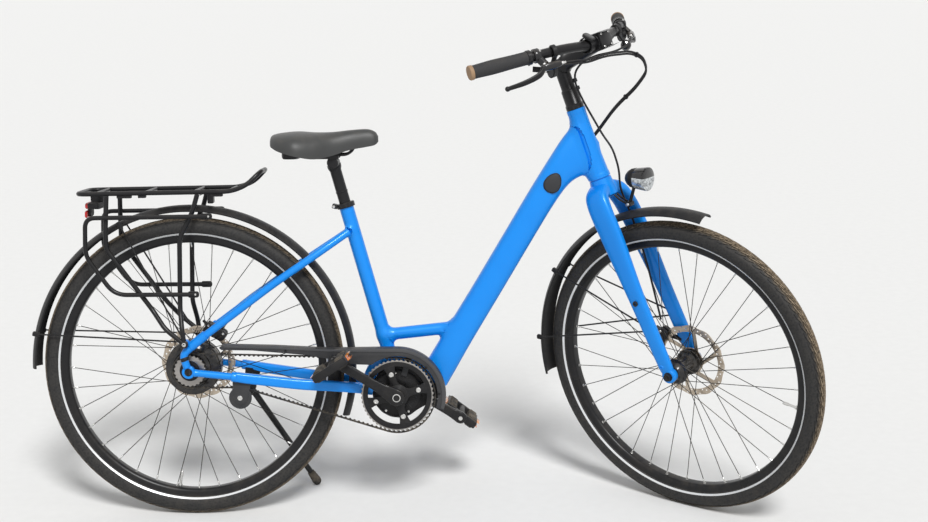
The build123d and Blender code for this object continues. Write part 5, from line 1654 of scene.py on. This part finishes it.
def guard_section(crown, thick=1.9, width=FENDER_W):
    """An arc from edge to edge, FENDER_DROP deep, with a round bead along both edges."""
    u = np.linspace(-1, 1, 25)
    outer = np.column_stack([u * width / 2, crown - FENDER_DROP * np.abs(u) ** 2.4])
    bead = 1.0 * np.clip((np.abs(u) - 0.93) / 0.05, 0, 1)
    inner = np.column_stack([u * (width / 2 - thick), outer[:, 1] - thick - bead])
    return np.vstack([outer, inner[::-1]])


def stay_end(axle, crown, degrees):
    """Where a wire stay meets the mudguard's edge."""
    return polar(axle, degrees, crown - FENDER_DROP + 1.5, -FENDER_W / 2 - 2.3)


def stay_clip(axle, crown, degrees):
    """A moulded block on a mudguard's edge that grips the wire."""
    at = polar(axle, degrees, crown - FENDER_DROP + 4, -FENDER_W / 2 - 1.4)
    return block(at, (12, 6, 16), 4, 1.2, degrees - 90)


front_guard = joined(hooped(guard_section(FRONT_FENDER_R), FRONT_AXLE, 79, 190),
                     hooped(guard_section(FRONT_FENDER_R + 1, 3.0, FENDER_W + 2), FRONT_AXLE, 178, 192, 24))
put("front_fender_shell", front_guard, "steering", moulded_black, ["front_fender"], smooth=30)
wires, clips = [], []
for degrees, z in ((148, 113), (177, 101)):
    ends = [stay_end(FRONT_AXLE, FRONT_FENDER_R, degrees), FRONT_AXLE + (-60, -58, z)]
    wires.append(rod(ends, WIRE_R, 5, 12))
    clips.append(stay_clip(FRONT_AXLE, FRONT_FENDER_R, degrees))
put("front_stay_wires", pair(joined(*wires)), "steering", satin_black, ["front_fender_stays"])
put("front_stay_clips", pair(joined(*clips)), "steering", moulded_black)
print("front mudguard faces:", made[-3][1])

# %% Hoses
HOSE_R = 2.5
TIE_AT = (4, 7)  # the corners after which a tie holds both hoses
FRONT_HOSE = [
    (987.5, 145, 1114.5), (1002, 122, 1114), (1010, 90, 1107), (1009, 40, 1102), (984, -8, 1101),
    (955, -22, 1087), (934, -22, 1062), (927, -12, 1034), (932, -4, 1008), (943, 0, 982), (959, 9, 945),
    (978, 14, 908), (1004, 13, 878), (1018, 15, 829), (1016, 18, 781), (1034, 32, 716), (1064, 40, 610),
    (1088, 42, 500), (1096, 46, 452)]
BUNDLE = [
    (987.5, -145, 1114.5), (1003, -121, 1114), (1015, -92, 1110), (1034, -45, 1116), (1060, 20, 1110),
    (1078, 44, 1094), (1080, 58, 1060), (1046, 60, 1018), (996, 50, 972)]
BUNDLE_END = [(972, 31, 920), (950, 30, 893), (918, 18, 858)]


def upright(places):
    """The drawing point of a place in the scene: `parked` undone, for a piece on the frame."""
    return (places - rear_joint["pos_m"]) @ lean_turn / MM + REAR_AXLE


put("front_brake_hose", bent_tube(FRONT_HOSE, HOSE_R), "steering", cable_black)
crossing = upright(parked(BUNDLE, True))
route = np.vstack([crossing, BUNDLE_END])
bundle = [bent_tube(route - (0, 0, drop), HOSE_R) for drop in (0.0, 5.3)]
tie = [(0, 4.8), (0, 6.4), (3.6, 6.4), (3.6, 4.8)]
for i in TIE_AT:
    a, b = crossing[i], crossing[i + 1]
    bundle.append(turned(0.5 * (a + b) - (0, 0, 2.6) - 2 * unit(b - a), b - a, tie, 18, ring=True))
bent_hoses = put("bar_to_frame_hoses", joined(*bundle), "frame", cable_black, rides=False)
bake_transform(bent_hoses)
print("steered pieces made:", len(made))

# %% [markdown]
# ## Saddle, seat post and battery port
# The saddle's cover is one shell: each ring arches over from edge to edge and comes back a few
# millimetres further in. The post is turned, and its head clamps the two rails. The battery's
# charging port closes with a drop-shaped lid on the down tube's right side.

# %% Saddle and post
SADDLE = np.array([  # ahead, half width, top, lower edge
    (201, 38, 911, 891), (206, 53, 915, 887), (225, 72, 919, 878), (262, 86, 922, 868), (305, 70, 919.5, 860),
    (345, 43, 920, 866), (385, 28, 924, 878), (425, 22, 926, 885), (444, 17.5, 920, 889),
    (451.5, 8, 910, 896)], float)


def saddle_shape():
    """Outer arch: y = half cos^0.85 u, z = low + height sin^0.7 u. The inner one is smaller."""
    x, half, top, low = smooth_line(SADDLE, 130).T[:, :, None]
    u = np.linspace(0, math.pi, 45)
    c, s = squared(np.cos(u), 0.85), np.abs(np.sin(u)) ** 0.7
    outer = np.stack([x + 0 * c, half * c, low + (top - low) * s], -1)
    c, s = c[::-1], s[::-1]
    inside, height = np.maximum(half - 7, 0.6 * half), np.maximum(top - low - 10, 2)
    inner = np.stack([x + 0 * c, inside * c, low + height * s], -1)
    return grid(np.concatenate([outer, inner], 1), caps=True)


saddle_cover = finish("saddle_cover", "saddle_cover", [(0.036, 0.037, 0.037), (0.046, 0.047, 0.046)], 0.42,
                      grain=(1500.0, 0.3), dust=0.10, specular=0.4)
cushion = put("saddle_cover", saddle_shape(), "frame", saddle_cover, ["saddle"], smooth=60)
rail = bent_tube([(219, -26, 889), (262, -22, 867), (385, -14, 867), (401, -8, 898)], 3.5, sides=16)
put("saddle_rail_wires", pair(rail), "frame", satin_black, ["saddle_rails"])

POST = [(0, 13.6), (30, 13.6), (31, 14.4), (34, 14.4), (35, 13.6), (84, 13.6), (92, 16.5), (99, 17), (99, 0)]
DRUM = [(0, 9), (1, 13), (14, 15), (21, 15.4), (27, 15.4), (34, 15), (47, 13), (48, 9)]
SEAT_COLLAR = [(0, 17.3), (0, 20.6), (1, 21.5), (10.5, 21.5), (11.9, 20.4), (11.9, 13.8), (6.9, 13.8),
               (6.9, 17.3)]
top = on_seat_axis(846.0)
head = [turned(on_seat_axis(SEAT_TUBE_TOP), SEAT_UP, POST, 40),
        turned(top + (0, -24, 2), (0, 1, 0), DRUM, 40)]
head += [block(top + (-14, s * 20, 17), (58, 13, 11), 4, 1.5) for s in (-1, 1)]
put("seatpost_head", joined(*head), "frame", satin_black, ["seatpost"])
hold = on_seat_axis(746.0)
collar = turned(on_seat_axis(741.5), SEAT_UP, SEAT_COLLAR, 48, ring=True)
ears = [block(hold + (-25, s * 5.5, -2), (15, 7, 11), 5, 1.2, -15) for s in (-1, 1)]
put("seat_clamp_collar", joined(collar, *ears), "frame", satin_black, ["seat_clamp"])
put("seat_clamp_bolt", peg(hold + (-28, -11, -2), (0, 1, 0), 3.8, 22, 1, 0.8), "frame", bolt_steel)
put("saddle_base", pill((246, 0, 869), (21, 42, 11)), "frame", moulded_black)

PORT_AT = (861, 796)
PORT_UP = unit((0.50, 0.866))  # along the down tube
port = np.array([(-23, 0), (-20, 12), (-9, 20), (6, 19), (18, 13), (25, 5), (26, 0)], float)
port = soft_outline(np.vstack([port, port[-2:0:-1] * (1, -1)]), 0.42, 5)
port = port[:, :1] * PORT_UP + port[:, 1:] * (-PORT_UP[1], PORT_UP[0])
put("port_lid", plate([port * 0.93 + PORT_AT], -32.5, -24, 1.6), "frame", guard_grey)
# A black plate a little larger than the lid shows round its edge as a painted shadow line.
put("port_gap", plate([port * 1.03 + PORT_AT], -30.0, -23, 0.4), "frame", moulded_black)
print("seat pieces made:", len(made))

# %% [markdown]
# ## Rack, rear mudguard and lamps
# The rack is bent from tubes of nearly one size. Its corners are the same as in the CAD model, and
# the helpers for paths and tubes do the rest. Clips, a lock plate and bolts are small blocks.

# %% Rack
RACK_Z, RACK_Y = 785.0, 65.0
LEG_Y, FOOT_Y, RAIL_Y = 74, 94, 84.3
RAIL_HIGH, RAIL_LOW = RACK_Z - 54, RACK_Z - 237
DECK_R, LEG_R, RAIL_R = 5.5, 5.7, 5.3


def deck(x, y=-RACK_Y, down=0.0):
    """A point on the deck's tubes, which rise gently to the front."""
    return x, y, RACK_Z + 4.0 * (x + 71) / 362 - down


def rack_tube(corners, r, share=0.26):
    return bent_tube(corners, r, 3.0, 20, share)


near = np.array([(178, 0, RACK_Z + 46), (178, -48, RACK_Z + 46), (146, -62, RACK_Z + 15), deck(110),
                 deck(-252), deck(-252, 0)])
hoop = np.vstack([near, (near * (1, -1, 1))[-2:0:-1], near[:1]])
deck_parts = [rack_tube(hoop, DECK_R, 0.45)]
deck_parts += [rod([deck(x), deck(x, RACK_Y)], 4.5, 5, 18) for x in (-205, -90, 25, 105)]
deck_parts.append(block(deck(-32, 0, 5.7), (122, 34, 2), 3, 0.5, 0.6))
deck_parts.append(block((52, 0, 768), (14, 20, 28), 3, 1))
put("rack_deck_tubes", joined(*deck_parts), "frame", satin_black, ["rack_deck"])

foot = RACK_FOOT - (0, FOOT_Y, 0)
rear_leg = [deck(-181, down=5), (-184, -LEG_Y, RACK_Z - 85), (-184, -LEG_Y, RACK_Z - 130), (-80, -LEG_Y, 510),
            (-48, -FOOT_Y, 468), foot]
front_leg = [deck(32, down=5), (20, -68, RACK_Z - 45), (-11, -LEG_Y, RACK_Z - 105), (-15, -LEG_Y, 510),
             (-8, -FOOT_Y, 462), foot]
eye = turned(foot + (0, 4.7, 0), (0, -1, 0), [(0, 8.4), (0.6, 9), (8.2, 9), (8.8, 8.2)], 28)
put("rack_leg_tubes", pair(joined(rack_tube(rear_leg, LEG_R), rack_tube(front_leg, LEG_R), eye)), "frame",
    satin_black, ["rack_legs"])
rail = [(58, RAIL_HIGH), (-228, RAIL_HIGH - 2), (-231, RAIL_HIGH - 91), (-166, RAIL_LOW), (22, RAIL_LOW)]
rails = [rack_tube([(x, -RAIL_Y, z) for x, z in rail], RAIL_R)]
rails += [block((x, -RAIL_Y, z), (26, 4, 15), 6, 1) for x, z in ((56, RAIL_HIGH), (20, RAIL_LOW))]
put("rack_side_tubes", pair(joined(*rails)), "frame", satin_black, ["rack_side_rails"])
fittings = [bolt(foot - (0, 4, 0), (0, -1, 0), 5, 3.4)]
fittings += [bolt((x, -86, z), (0, -1, 0), 2.6, 1.6, 14) for x, z in ((60, RAIL_HIGH), (24, RAIL_LOW))]
put("rack_bolts", pair(joined(*fittings)), "frame", bolt_steel)
straps = [block(deck(x, 5 - RACK_Y, 7.5), (long, 11, 8), 2, 0.8)
          for x, long in ((-140, 34), (-98, 18), (78, 26))]
put("rack_clips", pair(joined(*straps)), "frame", moulded_black)
print("rack, faces:", [count for _, count in made[-5:]])

# %% Rear mudguard and lamps
rear_guard = joined(hooped(guard_section(FENDER_R), REAR_AXLE, -17, 180, 170),
                    hooped(guard_section(FENDER_R + 1.4, 3.2, FENDER_W + 3), REAR_AXLE, -18, -9, 24))
put("rear_fender_shell", rear_guard, "frame", moulded_black, ["rear_fender"], smooth=30)
wires, clips = [], []
for degrees, y in ((115, -69.7), (167, -65.4)):
    wires.append(rod([stay_end(REAR_AXLE, FENDER_R, degrees), RACK_FOOT + (-4, y + 2, 0)], WIRE_R, 5, 12))
    wires.append(peg(RACK_FOOT + (0, y, 0), (0, 1, 0), 6, 4, 0.5, 0.4))
    clips.append(stay_clip(REAR_AXLE, FENDER_R, degrees))
put("rear_stay_wires", pair(joined(*wires)), "frame", satin_black, ["rear_fender_stays"])
put("rear_stay_clips", pair(joined(*clips)), "frame", moulded_black)


def slab(x1, x2, half_w, half_h, z):
    """A rounded plate that faces backwards: rings along X that shrink at both ends."""
    x = np.array([x1, x1 + 0.8, x1 + 2.4, x2 - 2.4, x2 - 0.8, x2])
    shrink = np.array([2.2, 0.8, 0, 0, 0.8, 2.2])
    path = np.column_stack([x, 0 * x, 0 * x + z])
    return tube(path, half_h - shrink, across=half_w - shrink, sides=64, side=(0, 1, 0), power=5.0)


# The tail lamp's red, with a painted glint in each facet's middle and painted shade at its edges.
red_with_painted_light = painted_facet_light(420.0, (0.75, 0.012, 0.010, 1), (0.30, 0.004, 0.004, 1))
lamp_red = finish("lamp_red", "black_plastic", red_with_painted_light, 0.14, grain=(900.0, 0.1), dust=0.08, coat=0.8)
case = joined(slab(-232, -206, 44, 8.5, 753), slab(-239, -232, 18, 16, 741),
              block((-216, 0, 769.5), (30, 30, 19), 3, 1.5))
put("tail_lamp_case", case, "frame", moulded_black, ["tail_lamp"])
lenses = joined(slab(-239, -230, 40, 8, 753), slab(-243, -237.5, 31, 9.5, 732))
put("tail_lamp_lens", lenses, "frame", lamp_red)
print("rear mudguard and lamp, faces:", [count for _, count in made[-5:]])

# %% [markdown]
# ## Brakes and side stand
# A caliper is a rounded block over the rotor, with the piston's cap, two bolts and a hose end.
# The same shape serves both wheels, turned and moved into place. The stand's leg tapers to a
# rubber foot that rests on the floor, so its length comes from the floor's distance.

# %% Calipers
def caliper(centre, width, turn, slot_y):
    """Two halves each side of the rotor's plane, a bridge over its rim, and bolts."""
    x, y, z = centre
    right = y - width / 2
    body = []
    for s in (-1, 1):
        inner, outer = slot_y + s * 3.4, y + s * width / 2
        body.append(block((x, (inner + outer) / 2, z), (56, abs(outer - inner), 27), 9, 1.6))
    cap = [(0, 11), (3.4, 11), (4.6, 9.8), (4.6, 5), (3.6, 4.6), (3.6, 0)]
    body += [block((x, y, z + 10.5), (30, width - 3, 8), 4, 1.2),
             turned((x, right + 1, z - 2), (0, -1, 0), cap, 32),
             turned((x - 27, y, z + 5), (-1, 0, 0.3), [(0, 5), (5, 5), (5.4, 3.6), (13, 3.2)], 18)]
    screws = [bolt((x + d, right + 0.5, z + 7), (0, -1, 0), 3.4, 2.6, 16) for d in (-20, 20)]
    return turned_y(joined(*body), turn, centre), turned_y(joined(*screws), turn, centre)


for end, body, arm, *caliper_form in (
        ("rear", "frame", rod([(58, 60, 448), (70, 67, 462)], 6.4), (44.0, 50.0, 437.0), 32, -30, 50),
        ("front", "steering", rod([FRONT_AXLE + (-72, 52, 53), FRONT_AXLE + (-30, 58, 44)], 6),
         FRONT_AXLE + (-78, 44, 46), 26, 60, 42)):
    block_shape, screws = caliper(*caliper_form)
    put(f"{end}_caliper_body", joined(block_shape, arm), body, moulded_black, [f"{end}_caliper"])
    put(f"{end}_caliper_screws", screws, body, bolt_steel)
STAY_HOSE = [(396, 20, 690), (370, 27, 682), (300, 58, 636), (215, 72, 582), (120, 80, 516), (70, 76, 476),
             (58, 58, 452)]
put("rear_brake_hose", bent_tube(STAY_HOSE, 2.4, 3), "frame", cable_black)
print("calipers, faces:", [count for _, count in made[-5:-1]])

# %% Side stand
STAND_PIVOT = np.array([120.0, 84.0, 291.0])
STAND_DOWN, STAND_BACK = unit((0.478, 0.263, -0.838)), np.array([-0.98, 0.13, 0.15])
STAND_AXIS = unit(np.cross(STAND_DOWN, STAND_BACK))
FOOT_ABOVE_FLOOR = 0.011  # metres, the middle of the round foot
FOOT_R, FOOT_LEN = 11, 26
STAND_HUB = [(0, 12), (1, 13), (15, 13), (16, 12), (16, 6), (14.5, 5.6), (14.5, 0)]
above = parked(STAND_PIVOT)[2]
stand_length = (above - FOOT_ABOVE_FLOOR) / (above - parked(STAND_PIVOT + STAND_DOWN)[2])
ankle = stand_length - FOOT_LEN
leg = turned(STAND_PIVOT, STAND_DOWN, [(0, 8.2), (20, 8), (ankle, 7)], 28)
hub = turned(STAND_PIVOT - 8 * STAND_AXIS, STAND_AXIS, STAND_HUB, 36)
ribs = [(ankle + 4 * i, 9 + 0.3 * i + 0.4 * (i % 2)) for i in range(6)]
t = np.linspace(0, math.pi / 2, 12)
tip = np.column_stack([stand_length + FOOT_R * np.sin(t), FOOT_R * np.cos(t)]).tolist()
sole = turned(STAND_PIVOT, STAND_DOWN, [(ankle - 4, 8), (ankle - 3, 9), *ribs, *tip], 32)
put("stand_leg_tube", joined(leg, hub), "side_stand", satin_black, ["stand_leg"])
put("stand_foot", sole, "side_stand", belt_rubber)

bracket_materials = frame["nodes"]["stand_bracket"].data.materials
bracket_materials.clear()
bracket_materials.append(satin_black)
print("pieces on the bike:", len(made), "faces:", sum(count for _, count in made))
